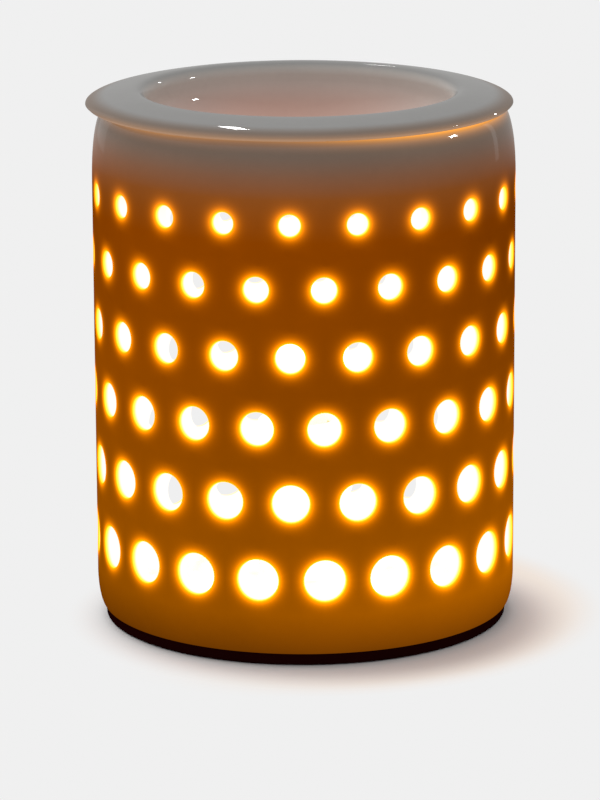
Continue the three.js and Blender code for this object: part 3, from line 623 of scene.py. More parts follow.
def brick(x0, x1, y0, y1, z0, z1):
    """A box between two corners in millimetres."""
    middle = Vector(((x0 + x1) / 2, (y0 + y1) / 2, (z0 + z1) / 2)) * MM
    size = Vector((x1 - x0, y1 - y0, z1 - z0)) * MM
    place = Matrix.Translation(middle) @ Matrix.Diagonal((*size, 1.0))

    def fill(work):
        bmesh.ops.create_cube(work, size=1.0, matrix=place)
    return solid("brick", fill)


def shift(piece, matrix):
    """Moves all points of a piece."""
    piece.data.transform(matrix)
    return piece


def edged(piece, degrees):
    """Keeps edges sharp where faces meet at more than this angle."""
    piece.data.set_sharp_from_angle(angle=math.radians(degrees))
    return piece


def settle(piece, body, slot, *nodes):
    """Lets a finished piece ride on a body in place of the solids that it stands for."""
    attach(piece, body)
    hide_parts(*nodes)


def dress(finish, *names):
    """Gives the part's own solids a finish."""
    for name in names:
        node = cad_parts[name]
        node.data.materials.clear()
        node.data.materials.append(finish)


def pair(name):
    """Names of the left and the right one of two solids."""
    return name + "_left", name + "_right"


# Finishes

class Finish(Graph):
    """A material with one Principled shader."""

    def __init__(self, name):
        self.material = bpy.data.materials.new(name + "_finish")
        self.material.use_nodes = True
        super().__init__(self.material.node_tree)
        self.shader = self.tree.nodes["Principled BSDF"]
        self.place = self.add("ShaderNodeTexCoord", out="Object")

    def spot(self):
        """Where a point of the surface lies, in millimetres."""
        return self.split(self.tint(self.place, 1.0 / MM))

    def set(self, sockets):
        for name, value in sockets.items():
            socket = self.shader.inputs[name]
            if isinstance(value, Value):
                self.tree.links.new(value.link, socket)
            elif socket.type == "RGBA":
                socket.default_value = (*value, 1.0)
            else:
                socket.default_value = value
        return self.material

    def noise(self, scale, detail, stretch=(1.0, 1.0, 1.0)):
        place = self.add("ShaderNodeMapping", {"Vector": self.place, "Scale": stretch})
        return self.add("ShaderNodeTexNoise", {"Vector": place, "Scale": scale, "Detail": detail})

    def bump(self, height, strength, distance):
        sockets = {"Height": height, "Strength": strength, "Distance": distance}
        return self.add("ShaderNodeBump", sockets)

    def attribute(self, name):
        return self.add("ShaderNodeAttribute", out="Fac", attribute_name=name)

    def light_inside(self, level):
        """Paints the bulb's light as a glow on what stands above the floor inside, stronger near the bulb."""
        x, y, z = self.spot()
        above_floor = z.smooth(BASE_TOP - 0.2, BASE_TOP + 0.8)
        near = diagonal(x, y, z - FILAMENT_Z).smooth(90.0, 30.0)
        far_level = 0.6
        light = above_floor * (near * (1.0 - far_level) + far_level)
        self.set({"Emission Color": self.tint(LAMPLIGHT, light), "Emission Strength": level})


def tone(colour, factor):
    """A colour made darker or lighter."""
    return tuple(channel * factor for channel in colour)


def moulded(name, colour, roughness, grain, depth, gloss=0.3, inside=0.0):
    """Plastic, rubber or fired clay: a fine grain with slow colour changes."""
    finish = Finish(name)
    # inside is how much of the bulb's light is painted on as a glow
    if inside:
        finish.light_inside(inside)
    fine = finish.noise(grain, 3.0)
    slow = finish.noise(grain / 18, 2.0)
    paint = finish.mix(slow.smooth(0.3, 0.7), tone(colour, 0.82), tone(colour, 1.14))
    return finish.set({
        "Base Color": finish.mix(fine.smooth(0.62, 0.8) * 0.5, paint, tone(colour, 0.6)),
        "Roughness": (slow - 0.5) * 0.3 + roughness,
        "Specular IOR Level": gloss,
        "Normal": finish.bump(fine, 0.4, depth),
    })


def rubber_finish(look):
    """Dull black rubber, made once in a file."""
    made = bpy.data.materials.get("rubber_finish")
    return made or moulded("rubber", look.rubber, roughness=0.75, grain=1100.0, depth=0.00008, gloss=0.1)


def metal(name, colour, tarnish, roughness, stretch=(1.0, 1.0, 1.0), inside=0.0):
    """Plated or pressed metal with drawing lines and a little tarnish."""
    finish = Finish(name)
    # inside is how much of the bulb's light is painted on as a glow
    if inside:
        finish.light_inside(inside)
    lines = finish.noise(900.0, 2.0, stretch)
    stain = finish.noise(140.0, 4.0)
    return finish.set({
        "Base Color": finish.mix(stain.smooth(0.45, 0.75), colour, tone(colour, tarnish)),
        "Metallic": 1.0,
        "Roughness": lines * 0.22 + stain * 0.12 + (roughness - 0.15),
        "Normal": finish.bump(lines, 0.25, 0.00004),
    })


def base_finish(look):
    """Dark plastic with a pale heat-reflecting lining on the floor inside, with lamplight painted on it as a
    glow.
    """
    finish = Finish("base_plastic")
    x, y, z = finish.spot()
    on_top = z.smooth(BASE_TOP - 0.5, BASE_TOP - 0.1)
    lining = on_top * diagonal(x, y).smooth(SPIGOT_R + 0.3, SPIGOT_R - 0.5)
    fine = finish.noise(1600.0, 3.0)
    slow = finish.noise(90.0, 2.0)
    dark = finish.mix(slow, tone(look.plastic, 0.8), tone(look.plastic, 1.2))
    pale = finish.mix(slow, tone(look.lining, 0.9), look.lining)
    return finish.set({
        "Base Color": finish.mix(lining, dark, pale),
        "Roughness": 0.42 + (slow - 0.5) * 0.3,
        "Specular IOR Level": 0.0,
        # Painted lamplight glowing on the pale lining
        "Emission Color": finish.tint(LAMPLIGHT, lining),
        "Emission Strength": 1.2,
        "Normal": finish.bump(fine, 0.3, 0.00005),
    })


def sleeving_finish(colour):
    """Braided glass fibre: two sets of slanting threads."""
    finish = Finish("lead_sleeving")
    # The bulb's light is painted on the leads as a glow
    finish.light_inside(0.6)
    x, y, z = finish.spot()
    threads = 5.2
    along = (x + y + z) * threads
    over = (x - y - z) * threads
    weave = along.sin() * over.cos() * 0.5 + 0.5
    return finish.set({
        "Base Color": finish.mix(weave, tone(colour, 0.55), colour),
        "Roughness": 0.85,
        "Normal": finish.bump(weave, 0.6, 0.0002),
    })


def glass_finish(colour, glow):
    """Clear glass that the filament fills with light."""
    finish = Finish("bulb_glass")
    _, _, z = finish.spot()
    film = finish.noise(60.0, 3.0)
    lit = abs(z - FILAMENT_Z).smooth(30.0, 0.0)
    return finish.set({
        "Base Color": finish.mix(film, colour, tone(colour, 0.93)),
        "Roughness": film.smooth(0.4, 0.8) * 0.08 + 0.01,
        "Transmission Weight": 1.0,
        "IOR": 1.5,
        "Emission Color": finish.tint(LAMPLIGHT, lit),
        "Emission Strength": glow,
        "Normal": finish.bump(film, 0.1, 0.0002),
    })


def black_glass_finish():
    """Black glass with a slight ripple."""
    finish = Finish("black_glass")
    ripple = finish.noise(260.0, 2.0)
    return finish.set({
        "Base Color": finish.mix(ripple, (0.006, 0.005, 0.004), (0.02, 0.017, 0.013)),
        "Roughness": ripple * 0.2 + 0.08,
        "Normal": finish.bump(ripple, 0.2, 0.0002),
    })


def tungsten_finish(colour, strength):
    """Glowing wire, hottest in the middle of the filament."""
    finish = Finish("tungsten")
    x, _, _ = finish.spot()
    heat = abs(x).smooth(5.2, 1.0)
    return finish.set({
        "Base Color": (0.25, 0.24, 0.23),
        "Metallic": 1.0,
        "Roughness": 0.5,
        "Emission Color": finish.mix(heat, tone(colour, 0.35), colour),
        "Emission Strength": strength,
    })


def painted_glow_tones(finish, look, angle, z, cloud):
    """The shade's painted glow by height, clouded, lighter on one side and darker on both sides of the top.
    """
    ramp_height = 150.0
    # The stops paint the glow of the lit porcelain by height, up to the unlit band
    stops = [(0.0, look.heel_glow), (0.1, look.foot_glow), (0.24, look.wall_colour),
             (0.5, look.middle_glow), (0.8, look.upper_glow), (0.88, look.fade_glow),
             (0.92, look.shoulder_glow), (0.96, look.band_colour)]
    ramp = finish.add("ShaderNodeValToRGB", {0: z / ramp_height}, stops=stops)
    # Painted light: the foot is brighter on the right and the top brighter on the left
    foot = z.smooth(45.0, 12.0)
    top = z.smooth(50.0, 90.0)
    lean = angle.sin() * (foot * look.low_lean - top * look.high_lean)
    # Painted shade: the upper wall is dimmer on both sides
    upper_wall = z.smooth(70.0, 110.0) * z.smooth(CREST_Z - 2.5, SHOULDER_Z + 1.5)
    sides = angle.sin() ** 4.0 * upper_wall * look.side_fall
    speck = finish.noise(420.0, 2.0)
    grain = (cloud - 0.5) * 0.22 + (speck - 0.5) * 0.06
    return finish.tint(ramp, grain + lean - sides + 1.0)


def hole_light(finish, look):
    """Painted glow: the halo and the bright edge round every hole."""
    gap = finish.attribute("from_hole") / MM
    halo = (gap / -look.halo_width).exp()
    edge = (gap / -look.rim_width).exp()
    return finish.tint(look.halo_colour, halo), finish.tint(look.rim_colour, edge)


def leak_light(finish, look, angle, z):
    """Painted light that comes out under the dish, most of it on the right, with a soft painted fill just
    under the crest.
    """
    open_side = ((angle - look.leak_turn).cos() * 0.5 + 0.5) ** 7.0
    other_side = ((angle + look.leak_turn).cos() * 0.5 + 0.5) ** 12.0
    near_crest = ((z - (CREST_Z - 1.2)) / 0.95).exp()
    leak = near_crest * (open_side * 0.85 + other_side * 0.3 + 0.04)
    fill = z.smooth(CREST_Z - 4.5, CREST_Z - 1.3)
    return finish.tint(look.leak_colour, leak.least(1.3)), finish.tint(look.fill_colour, fill)


def shade_glaze(look):
    """Translucent porcelain lit from inside, its light painted on: brown by height, with a halo round every
    hole.
    """
    finish = Finish("shade_glaze")
    x, y, z = finish.spot()
    angle = x.arctan2(-y)
    cloud = finish.noise(34.0, 3.0)
    body = painted_glow_tones(finish, look, angle, z, cloud)
    # The glow share of the painted tones goes into emission, the rest into the base colour
    glow = z.smooth(CREST_Z - 2.0, SHOULDER_Z + 0.5) * look.glow_share
    lights = (*hole_light(finish, look), *leak_light(finish, look, angle, z))
    outer = finish.sum(finish.tint(body, glow), *lights)
    level = 1.0 / look.emission_level
    inward = finish.attribute("inward")
    # Painted glow on the walls of the holes, near the outside
    edge = finish.mix(inward.smooth(0.02, 0.12), finish.tint(outer, level), tone(look.hole_wall_glow, level))
    # Painted glow inside the shade, weaker towards the mouth
    mouth = z.smooth(SHOULDER_Z - 5.5, CREST_Z - 2.5)
    inner = finish.tint(finish.mix(mouth, look.inside_colour, look.mouth_glow), look.inside_level * level)
    return finish.set({
        "Base Color": finish.tint(body, 1.0 - glow),
        "Roughness": 0.4,
        "Specular IOR Level": 0.0,
        "Coat Weight": z.smooth(SHOULDER_Z - 0.5, CREST_Z - 2.5) * 0.4,
        "Coat Roughness": 0.06,
        "Emission Color": finish.mix(inward.smooth(0.1, 0.38), edge, inner),
        "Emission Strength": look.emission_level,
        "Normal": finish.bump(cloud, 0.06, 0.002),
    })


def dish_glaze(look):
    """Grey-white glaze, a little pink where light comes up through the bowl, with painted light and shade."""
    finish = Finish("dish_glaze")
    x, y, z = finish.spot()
    across = x + look.shift / MM
    away = diagonal(across, y)
    rim = look.rim_radius / MM
    bowl_r = rim - RIM_WIDTH - ROLL_R
    cloud = finish.noise(30.0, 3.0)
    speck = finish.noise(520.0, 2.0)
    bowl = away.smooth(bowl_r + 1.9, bowl_r - 0.6)
    deep = bowl * z.smooth(DISH_TOP - 2.1, DISH_TOP - 16.6)
    # Painted light: the bowl's left and right and its upper slope are painted lighter
    sides = ((across / 41.0) ** 2.0).least(1.0).most(z.smooth(DISH_TOP - 12.6, DISH_TOP - 3.6))
    front_and_back = abs(y).smooth(5.0, 35.0)
    under = z.smooth(DISH_TOP - 2.3, DISH_TOP - 4.5) * away.smooth(rim - 6.9, rim - 2.4) * front_and_back
    bowl_light = finish.tint(look.bowl_glow, deep * (cloud * 0.5 + 0.75))
    # The bowl's glaze is painted lighter and pinker for the light in it
    bowl_paint_and_light = finish.mix(sides, look.bowl_glaze_and_light, look.bowl_side_light)
    paint = finish.mix(bowl, look.rim_colour, bowl_paint_and_light)
    # Painted shade: the lower half of the lip is painted darker
    paint = finish.mix(away.smooth(rim - 5.9, rim - 0.9), paint, look.lip_painted_shade)
    return finish.set({
        "Base Color": finish.tint(paint, (cloud - 0.5) * 0.1 + (speck - 0.5) * 0.05 + 1.0),
        "Roughness": speck * 0.1 + 0.35,
        "Specular IOR Level": 0.0,
        "Coat Weight": cloud * 0.06 + 0.2,
        "Coat Roughness": 0.03,
        "Emission Color": finish.sum(bowl_light, finish.tint(look.under_glow, under)),
        "Emission Strength": 1.0,
        "Normal": finish.bump(finish.noise(48.0, 2.0), 0.12, 0.0015),
    })


# Settings

def setting(kind, **options):
    """A function that makes one kind of setting from a name, a description and a default."""
    def make(name, description, default):
        return kind(name=name, description=description, default=default, **options)
    return make


colour_setting = setting(FloatVectorProperty, size=3, min=0.0, soft_max=1.0, subtype="COLOR")
length_setting = setting(FloatProperty, min=0.0, unit="LENGTH", precision=4)
angle_setting = setting(FloatProperty, subtype="ANGLE")
share_setting = setting(FloatProperty, min=0.0, max=1.0, subtype="FACTOR")
number_setting = setting(FloatProperty)
count_setting = setting(IntProperty, min=2)


class LampShade(bpy.types.PropertyGroup):
    """Sizes and colours of the shade."""
    radius: length_setting("Radius", "Outside radius of the pierced wall", 0.06)
    wall: length_setting("Wall", "Thickness of the porcelain", 0.004)
    columns: count_setting("Holes per row", "Holes round the shade in each row", 20)
    rows: count_setting("Rows", "Staggered rows of holes", 6)
    top_row: length_setting("Top row", "Height of the top row's centres", 0.125)
    bottom_row: length_setting("Bottom row", "Height of the bottom row's centres", 0.025)
    row_spread: share_setting("Row spread", "How much the lower rows open", 0.125)
    top_hole: length_setting("Top hole", "Diameter of the smallest holes", 0.006)
    bottom_hole: length_setting("Bottom hole", "Diameter of the largest holes", 0.0116)
    lip: length_setting("Lip", "Rounding of each hole's outer edge", 0.0006)
    front_turn: angle_setting("Front turn", "Turn of the top row from the front", math.radians(-3.8))
    heel_glow: colour_setting("Heel", "Porcelain at the very bottom", (0.13, 0.034, 0.001))
    foot_glow: colour_setting("Foot", "Porcelain below the bottom row", (0.355, 0.093, 0.0))
    wall_colour: colour_setting("Wall colour", "Porcelain between the lower rows", (0.308, 0.077, 0.0))
    middle_glow: colour_setting("Middle", "Porcelain between the middle rows", (0.258, 0.058, 0.0))
    upper_glow: colour_setting("Upper wall", "Porcelain between the upper rows", (0.25, 0.05, 0.0))
    fade_glow: colour_setting("Fade", "Porcelain where the glow begins to fade", (0.262, 0.073, 0.01))
    shoulder_glow: colour_setting("Shoulder", "Porcelain where the glow fades", (0.24, 0.106, 0.053))
    band_colour: colour_setting("Band", "Unlit porcelain under the dish", (0.203, 0.149, 0.114))
    low_lean: share_setting("Low lean", "How much brighter the foot is on the right", 0.22)
    high_lean: share_setting("High lean", "How much brighter the top is on the left", 0.1)
    side_fall: share_setting("Side fall", "How much dimmer the top is on both sides", 0.22)
    glow_share: share_setting("Glow share", "Part of the colour that is light from inside", 0.8)
    halo_colour: colour_setting("Halo", "Light in the porcelain round a hole", (2.15, 0.52, 0.0))
    halo_width: number_setting("Halo width", "Millimetres in which the halo falls to a third", 0.935)
    rim_colour: colour_setting("Rim", "Light at the very edge of a hole", (0.3, 0.34, 0.01))
    rim_width: number_setting("Rim width", "Millimetres in which the edge light falls to a third", 0.35)
    leak_colour: colour_setting("Leak", "Light that leaks out under the dish", (1.0, 0.36, 0.0))
    fill_colour: colour_setting("Fill", "Soft light between the band and the dish", (0.05, 0.042, 0.042))
    leak_turn: angle_setting("Leak turn", "Where most light leaks out, from the front", math.radians(52.0))
    hole_wall_glow: colour_setting("Hole edge", "Wall of a hole near the outside", (2.4, 1.1, 0.1))
    inside_colour: colour_setting("Inside", "Lit inside of the shade", (1.0, 0.97, 0.88))
    mouth_glow: colour_setting("Mouth", "Inside of the shade near its top", (0.62, 0.46, 0.27))
    inside_level: number_setting("Inside level", "Brightness of the inside", 1.14)
    emission_level: number_setting("Emission level", "Scale of all the shade's light", 3.0)


class LampDish(bpy.types.PropertyGroup):
    """Sizes and colours of the dish."""
    rim_radius: length_setting("Rim radius", "Outside radius of the rim", DISH_R * MM)
    shift: length_setting("Shift", "How far the loose dish lies to the left", 0.0012)
    waver: length_setting("Waver", "Unevenness of the hand-finished rim", 0.0003)
    rim_colour: colour_setting("Rim", "Glaze on the rim", (0.277, 0.273, 0.266))
    lip_painted_shade: colour_setting("Lip", "Glaze on the lower half of the lip", (0.2, 0.155, 0.125))
    bowl_glaze_and_light: colour_setting("Bowl", "Glaze inside the bowl", (0.45, 0.362, 0.312))
    bowl_side_light: colour_setting("Bowl sides", "Glaze on the left and right of the bowl", (0.58, 0.54, 0.5))
    bowl_glow: colour_setting("Bowl glow", "Light from below in the bowl", (0.1, 0.01, 0.0))
    under_glow: colour_setting("Under glow", "Light under the rim", (0.3, 0.145, 0.06))


class LampFittings(bpy.types.PropertyGroup):
    """Colours of the base and of what is inside."""
    plastic: colour_setting("Base", "Plastic of the base plate", (0.013, 0.0014, 0.0014))
    lining: colour_setting("Lining", "Heat-reflecting floor inside the base", (0.8, 0.78, 0.73))
    rubber: colour_setting("Rubber", "Feet, pads and gland", (0.022, 0.021, 0.02))
    steel: colour_setting("Steel", "Zinc plated steel", (0.62, 0.64, 0.66))
    brass: colour_setting("Brass", "Pressed brass", (0.66, 0.45, 0.16))
    nickel: colour_setting("Nickel", "Nickel plate", (0.7, 0.67, 0.61))
    solder: colour_setting("Solder", "Tip of the bulb", (0.5, 0.5, 0.5))
    ceramic: colour_setting("Ceramic", "Body of the lampholder", (0.78, 0.74, 0.66))
    nylon: colour_setting("Nylon", "Terminal block", (0.8, 0.78, 0.72))
    sleeving: colour_setting("Sleeving", "Braided sleeving of the leads", (0.6, 0.55, 0.44))


class LampBulb(bpy.types.PropertyGroup):
    """Colours and light of the bulb."""
    glass: colour_setting("Glass", "Clear glass", (1.0, 0.97, 0.91))
    filament: colour_setting("Filament", "Light of the filament", (1.0, 0.72, 0.36))
    level: number_setting("Level", "Brightness of the filament", 24.0)
    glow: number_setting("Glow", "Brightness of the lit glass", 0.5)
    pitch: length_setting("Pitch", "Pitch of the screw thread", 0.00282)


class LampStage(bpy.types.PropertyGroup):
    """Floor, light and camera."""
    background: number_setting("Background", "Level of the floor and the backdrop", 0.871)
    sky: number_setting("Sky", "Even light from all round", 0.56)
    key: number_setting("Key", "Soft light from the left", 0.44)
    key_width: angle_setting("Key width", "How wide the key light is", math.radians(55.0))
    key_turn: angle_setting("Key turn", "Where the key light stands, from the front", math.radians(-138.0))
    key_tilt: angle_setting("Key tilt", "How high the key light stands", math.radians(62.0))
    shadow_side: length_setting("Shadow side", "How far the shadow lies to the right", 0.005)
    shadow_front: length_setting("Shadow front", "How far the shadow lies to the front", 0.0062)
    shadow_inner: length_setting("Shadow inner", "Radius in which the floor takes all shadow", 0.058)
    shadow_outer: length_setting("Shadow outer", "Radius past which the floor shines evenly", 0.075)
    floor_glow: colour_setting("Floor glow", "Lamplight on the floor", (0.87, 0.77, 0.69))
    lens: number_setting("Lens", "Focal length in millimetres", 200.5)
    distance: length_setting("Distance", "From the camera to the middle of the lamp", 1.2786)
    pitch: angle_setting("Pitch", "How far the camera looks down", math.radians(13.79))
    roll: angle_setting("Roll", "Turn of the picture", math.radians(-0.25))
    aim: length_setting("Aim", "Height that the camera looks at", 0.0619)
    off_centre: number_setting("Off centre", "Sideways shift of the picture", -0.006)


# Shade

class Template:
    """Points, faces and point values of one hole's cell and of the strips that belong to its column."""

    segments = 32

    def __init__(self):
        self.points = []
        self.faces = []
        self.values = {"way": [], "spread": [], "lip": [], "depth": [], "strip": []}

    def add(self, point, **values):
        self.points.append(point)
        for name, column in self.values.items():
            column.append(values.get(name, 0.0))

    def add_cell(self, rings):
        """Rings of points from the inside of the wall through the hole to the outside."""
        for spread, lip, depth in rings:
            for segment in range(self.segments):
                way = segment * 4 / self.segments
                self.add((0.0, 0.0, 0.0), way=way, spread=spread, lip=lip, depth=depth)
        for ring in range(len(rings) - 1):
            low = ring * self.segments
            high = low + self.segments
            for segment in range(self.segments):
                after = (segment + 1) % self.segments
                self.faces.append((low + segment, high + segment, high + after, low + after))

    def add_strip(self, profile):
        """A profile of (radius, height, depth in the wall), one column wide."""
        start = len(self.points)
        columns = self.segments // 4
        for r, z, depth in profile:
            for column in range(columns + 1):
                self.add((column / columns - 0.5, r * MM, z * MM), depth=depth, strip=1.0)
        for level in range(len(profile) - 1):
            for column in range(columns):
                low = start + level * (columns + 1) + column
                high = low + columns + 1
                self.faces.append((low, low + 1, high + 1, high))

    def mesh(self):
        mesh = bpy.data.meshes.new("shade")
        mesh.from_pydata(self.points, [], self.faces)
        for name, values in self.values.items():
            mesh.attributes.new(name, "FLOAT", "POINT").data.foreach_set("value", values)
        return mesh


def shade_template(look):
    """One column's share of the shade, still flat."""
    wall = look.wall / MM
    radius = look.radius / MM
    rounding = look.lip / look.wall
    half_round = 0.293
    inside = [(spread, 0.0, 1.0) for spread in (1.0, 0.45, 0.0)]
    bore = [(0.0, 0.0, 0.55), (0.0, 0.0, rounding), (0.0, half_round, rounding * half_round)]
    outside = [(spread, 1.0, 0.0) for spread in (0.0, 0.18, 0.5, 1.0)]
    template = Template()
    template.add_cell(inside + bore + outside)
    template.add_strip(shoulder_profile(look, radius, wall))
    template.add_strip(heel_profile(radius, wall))
    return template.mesh()


def shoulder_profile(look, radius, wall):
    """From half a row above the top row over the crest and down inside."""
    gaps = look.rows - 1
    fall = (look.top_row - look.bottom_row) / MM
    start = look.top_row / MM + fall * (1 - look.row_spread - look.row_spread / gaps) / gaps / 2
    rise = CREST_Z - SHOULDER_Z

    def outside(z):
        part = min(max((z - SHOULDER_Z) / rise, 0.0), 1.0)
        return radius - SHOULDER_IN * (1 - (1 - part ** SHOULDER_POWER) ** (1 / SHOULDER_POWER))

    mouth = radius - SHOULDER_IN - MOUTH_LIP
    inner = outside(start) - wall
    edge_z = CREST_Z - MOUTH_EDGE
    shoulder = quarter(radius, SHOULDER_Z, SHOULDER_IN, rise, SHOULDER_POWER, 26)
    crest = bent((mouth + MOUTH_LIP * 0.6, CREST_Z), (mouth, CREST_Z), (mouth, edge_z), 4)
    inside = bent((mouth, edge_z - 1.0), (inner, start + 8.0), (inner, start), 6)
    profile = [(outside(start), start, 0.0)]
    profile += [(r, z, 0.0) for r, z in shoulder if z > start + 0.2]
    profile += [(r, z, 0.6) for r, z in crest]
    profile += [(r, z, 1.0) for r, z in inside]
    return profile


def heel_profile(radius, wall):
    """From below the bottom row down inside, across the floor and up the heel."""
    bore = radius - wall
    opening = bore - FLOOR_WIDTH
    edge = radius - HEEL_IN - 0.55
    lap_z = SHADE_FOOT - 0.65
    heel_z = HEEL_TOP - 2
    floor = softened([(bore, HEEL_TOP, 0), (bore, FLOOR_TOP, 2.0), (opening, FLOOR_TOP, 0.6),
                      (opening, SHADE_FOOT, 0.5), (edge, SHADE_FOOT, 0.2), (edge, lap_z, 0)])
    heel = quarter(radius, heel_z, HEEL_IN + 0.2, lap_z - heel_z, 1.8, 14)
    profile = [(r, z, float(z > SHADE_FOOT)) for r, z in floor]
    profile += [(r, z, 0.0) for r, z in heel[::-1]]
    profile += [(radius, HEEL_TOP, 0.0)]
    return profile


class LAMP_OT_shade(bpy.types.Operator):
    """Builds the pierced porcelain shade."""
    bl_idname = "lamp.shade"
    bl_label = "Pierced shade"

    def execute(self, context):
        look = context.scene.lamp_shade
        names = ("columns", "rows", "front_turn", "top_row", "bottom_row", "row_spread", "top_hole",
                 "bottom_hole", "radius", "wall", "lip")
        sizes = {name: getattr(look, name) for name in names}
        tree = shared("Pierced wall", pierced_wall_tree)
        piece = grown("pierced_shade", shade_template(look), tree, finish=shade_glaze(look), **sizes)
        settle(piece, "lamp", "shade_porcelain", "shade")
        return {"FINISHED"}


# Dish

def dish_underside(rim, bowl):
    """From the middle of the underside out to the edge of the lip."""
    outer = bowl + DISH_WALL
    step, step_z = 50.6, DISH_SEAT - 3
    under = quarter(outer, step_z, outer, DISH_TOP - BOWL_DEPTH - DISH_WALL - step_z, BOWL_POWER, 20)
    ledge = softened([(outer, step_z, 0), (step, step_z, 0.9), (step, DISH_SEAT, 0.3),
                      (rim - 3.2, DISH_SEAT, 0.5), (rim - LIP_BEAD, LIP_Z, 0.6), (rim, LIP_Z + LIP_BEAD, 0)])
    return [(0.0, under[-1][1])] + under[-2::-1] + ledge[1:-1]


def dish_rim(rim, crest):
    """From the edge of the lip up and in to the crest of the bowl."""
    slope, fall, width = 0.2, 1.1, 6.4
    brow = (rim - width, DISH_TOP - fall)
    lip = bent((rim, LIP_Z + LIP_BEAD), (rim, brow[1] - slope * width), brow, 16)
    return lip + bent(brow, (brow[0] - fall / slope, DISH_TOP), (crest, DISH_TOP), 10)[1:]


def dish_bowl(crest, bowl):
    """From the crest down to the middle of the bowl."""
    roll_z = DISH_TOP - ROLL_R
    roll = arc(crest, roll_z, ROLL_R, 90, 180, 9)[1:-1]
    inside = quarter(bowl, roll_z, bowl, ROLL_R - BOWL_DEPTH, BOWL_POWER, 26)[:-1]
    return roll + inside + [(0.0, DISH_TOP - BOWL_DEPTH)]


class LAMP_OT_dish(bpy.types.Operator):
    """Builds the loose dish."""
    bl_idname = "lamp.dish"
    bl_label = "Dish"

    def execute(self, context):
        look = context.scene.lamp_dish
        rim = look.rim_radius / MM
        crest = rim - RIM_WIDTH
        bowl = crest - ROLL_R
        points = dish_underside(rim, bowl) + dish_rim(rim, crest) + dish_bowl(crest, bowl)
        piece = turned("glazed_dish", points, dish_glaze(look), sides=160, waver=look.waver)
        shift(piece, Matrix.Translation((-look.shift, 0.0, 0.0)))
        settle(piece, "dish", "dish_porcelain", "dish")
        return {"FINISHED"}


# Base and clamp

def base_profile():
    """A plate with a raised ring that centres the shade."""
    bore, spigot_top = SPIGOT_R - 2.5, BASE_TOP + 3.0
    return softened([(0.0, BASE_UNDER, 0), (BASE_R, BASE_UNDER, 0.5), (BASE_R, BASE_TOP, 0.8),
                     (SPIGOT_R, BASE_TOP, 0.2), (SPIGOT_R, spigot_top, 0.5), (bore, spigot_top, 0.5),
                     (bore, BASE_TOP, 0.3), (0.0, BASE_TOP, 0)])


def foot_profile():
    """A round foot with two grooves in its sole."""
    deep = 0.25
    corners = [(0.0, 0.0, 0)]
    for start in (1.4, 3.2):
        corners += [(start, 0.0, 0), (start + 0.2, deep, 0), (start + 0.6, deep, 0), (start + 0.8, 0.0, 0)]
    return softened(corners + [(FOOT_R, 0.0, 0.35), (FOOT_R, FOOT_TOP, 0.2), (0.0, FOOT_TOP, 0)])


def base_holes():
    """Room for the feet and for the screws with their heads."""
    head = (SCREW_HEAD_R + SEAT_GAP, SCREW_HEAD_TOP + SEAT_GAP)
    shank = (SCREW_R + SEAT_GAP, BOSS_TOP + 2.5)
    foot = (FOOT_R + SEAT_GAP, FOOT_TOP + SEAT_GAP)
    reach = FOOT_RING / math.sqrt(2)
    holes = [rod(radius, 0.0, top, x) for radius, top in (head, shank) for x in (-SCREW_X, SCREW_X)]
    holes += [rod(foot[0], 0.0, foot[1], x, y) for x in (-reach, reach) for y in (-reach, reach)]
    return holes


class LAMP_OT_base(bpy.types.Operator):
    """Builds the base plate with its feet."""
    bl_idname = "lamp.base"
    bl_label = "Base and feet"

    def execute(self, context):
        look = context.scene.lamp_fittings
        plate = turned("base_moulding", base_profile(), base_finish(look), sides=128)
        carved(plate, [rod(BOSS_R, BASE_TOP - 1.9, BOSS_TOP, x) for x in (-SCREW_X, SCREW_X)], "UNION")
        carved(plate, base_holes())
        settle(edged(plate, 40.0), "lamp", "base_plastic", "base_plate")
        rubber = rubber_finish(look)
        foot = turned("foot", foot_profile(), rubber, sides=40)
        feet = ringed("rubber_feet", foot, rubber, count=4, radius=FOOT_RING * MM, start=math.pi / 4)
        settle(edged(feet, 40.0), "lamp", "rubber", "foot_front_left", "foot_front_right", "foot_back_right",
               "foot_back_left")
        return {"FINISHED"}


def screw_profile():
    """A screw with its head down."""
    crown_r, crown_top = 2.5, SCREW_Z + 1.1
    return softened([(0.0, SCREW_Z, 0), (crown_r, SCREW_Z, 0.4), (SCREW_HEAD_R, crown_top, 0.3),
                     (SCREW_HEAD_R, SCREW_HEAD_TOP, 0.15), (SCREW_R, SCREW_HEAD_TOP, 0),
                     (SCREW_R, SCREW_TIP, 0.4), (0.0, SCREW_TIP, 0)])


def nut_profile():
    """Turned with six sides."""
    corner, bore = 4.04, SCREW_R + SEAT_GAP
    return softened([(bore, NUT_Z, 0), (corner, NUT_Z, 0.35), (corner, NUT_TOP, 0.35), (bore, NUT_TOP, 0)], 2)


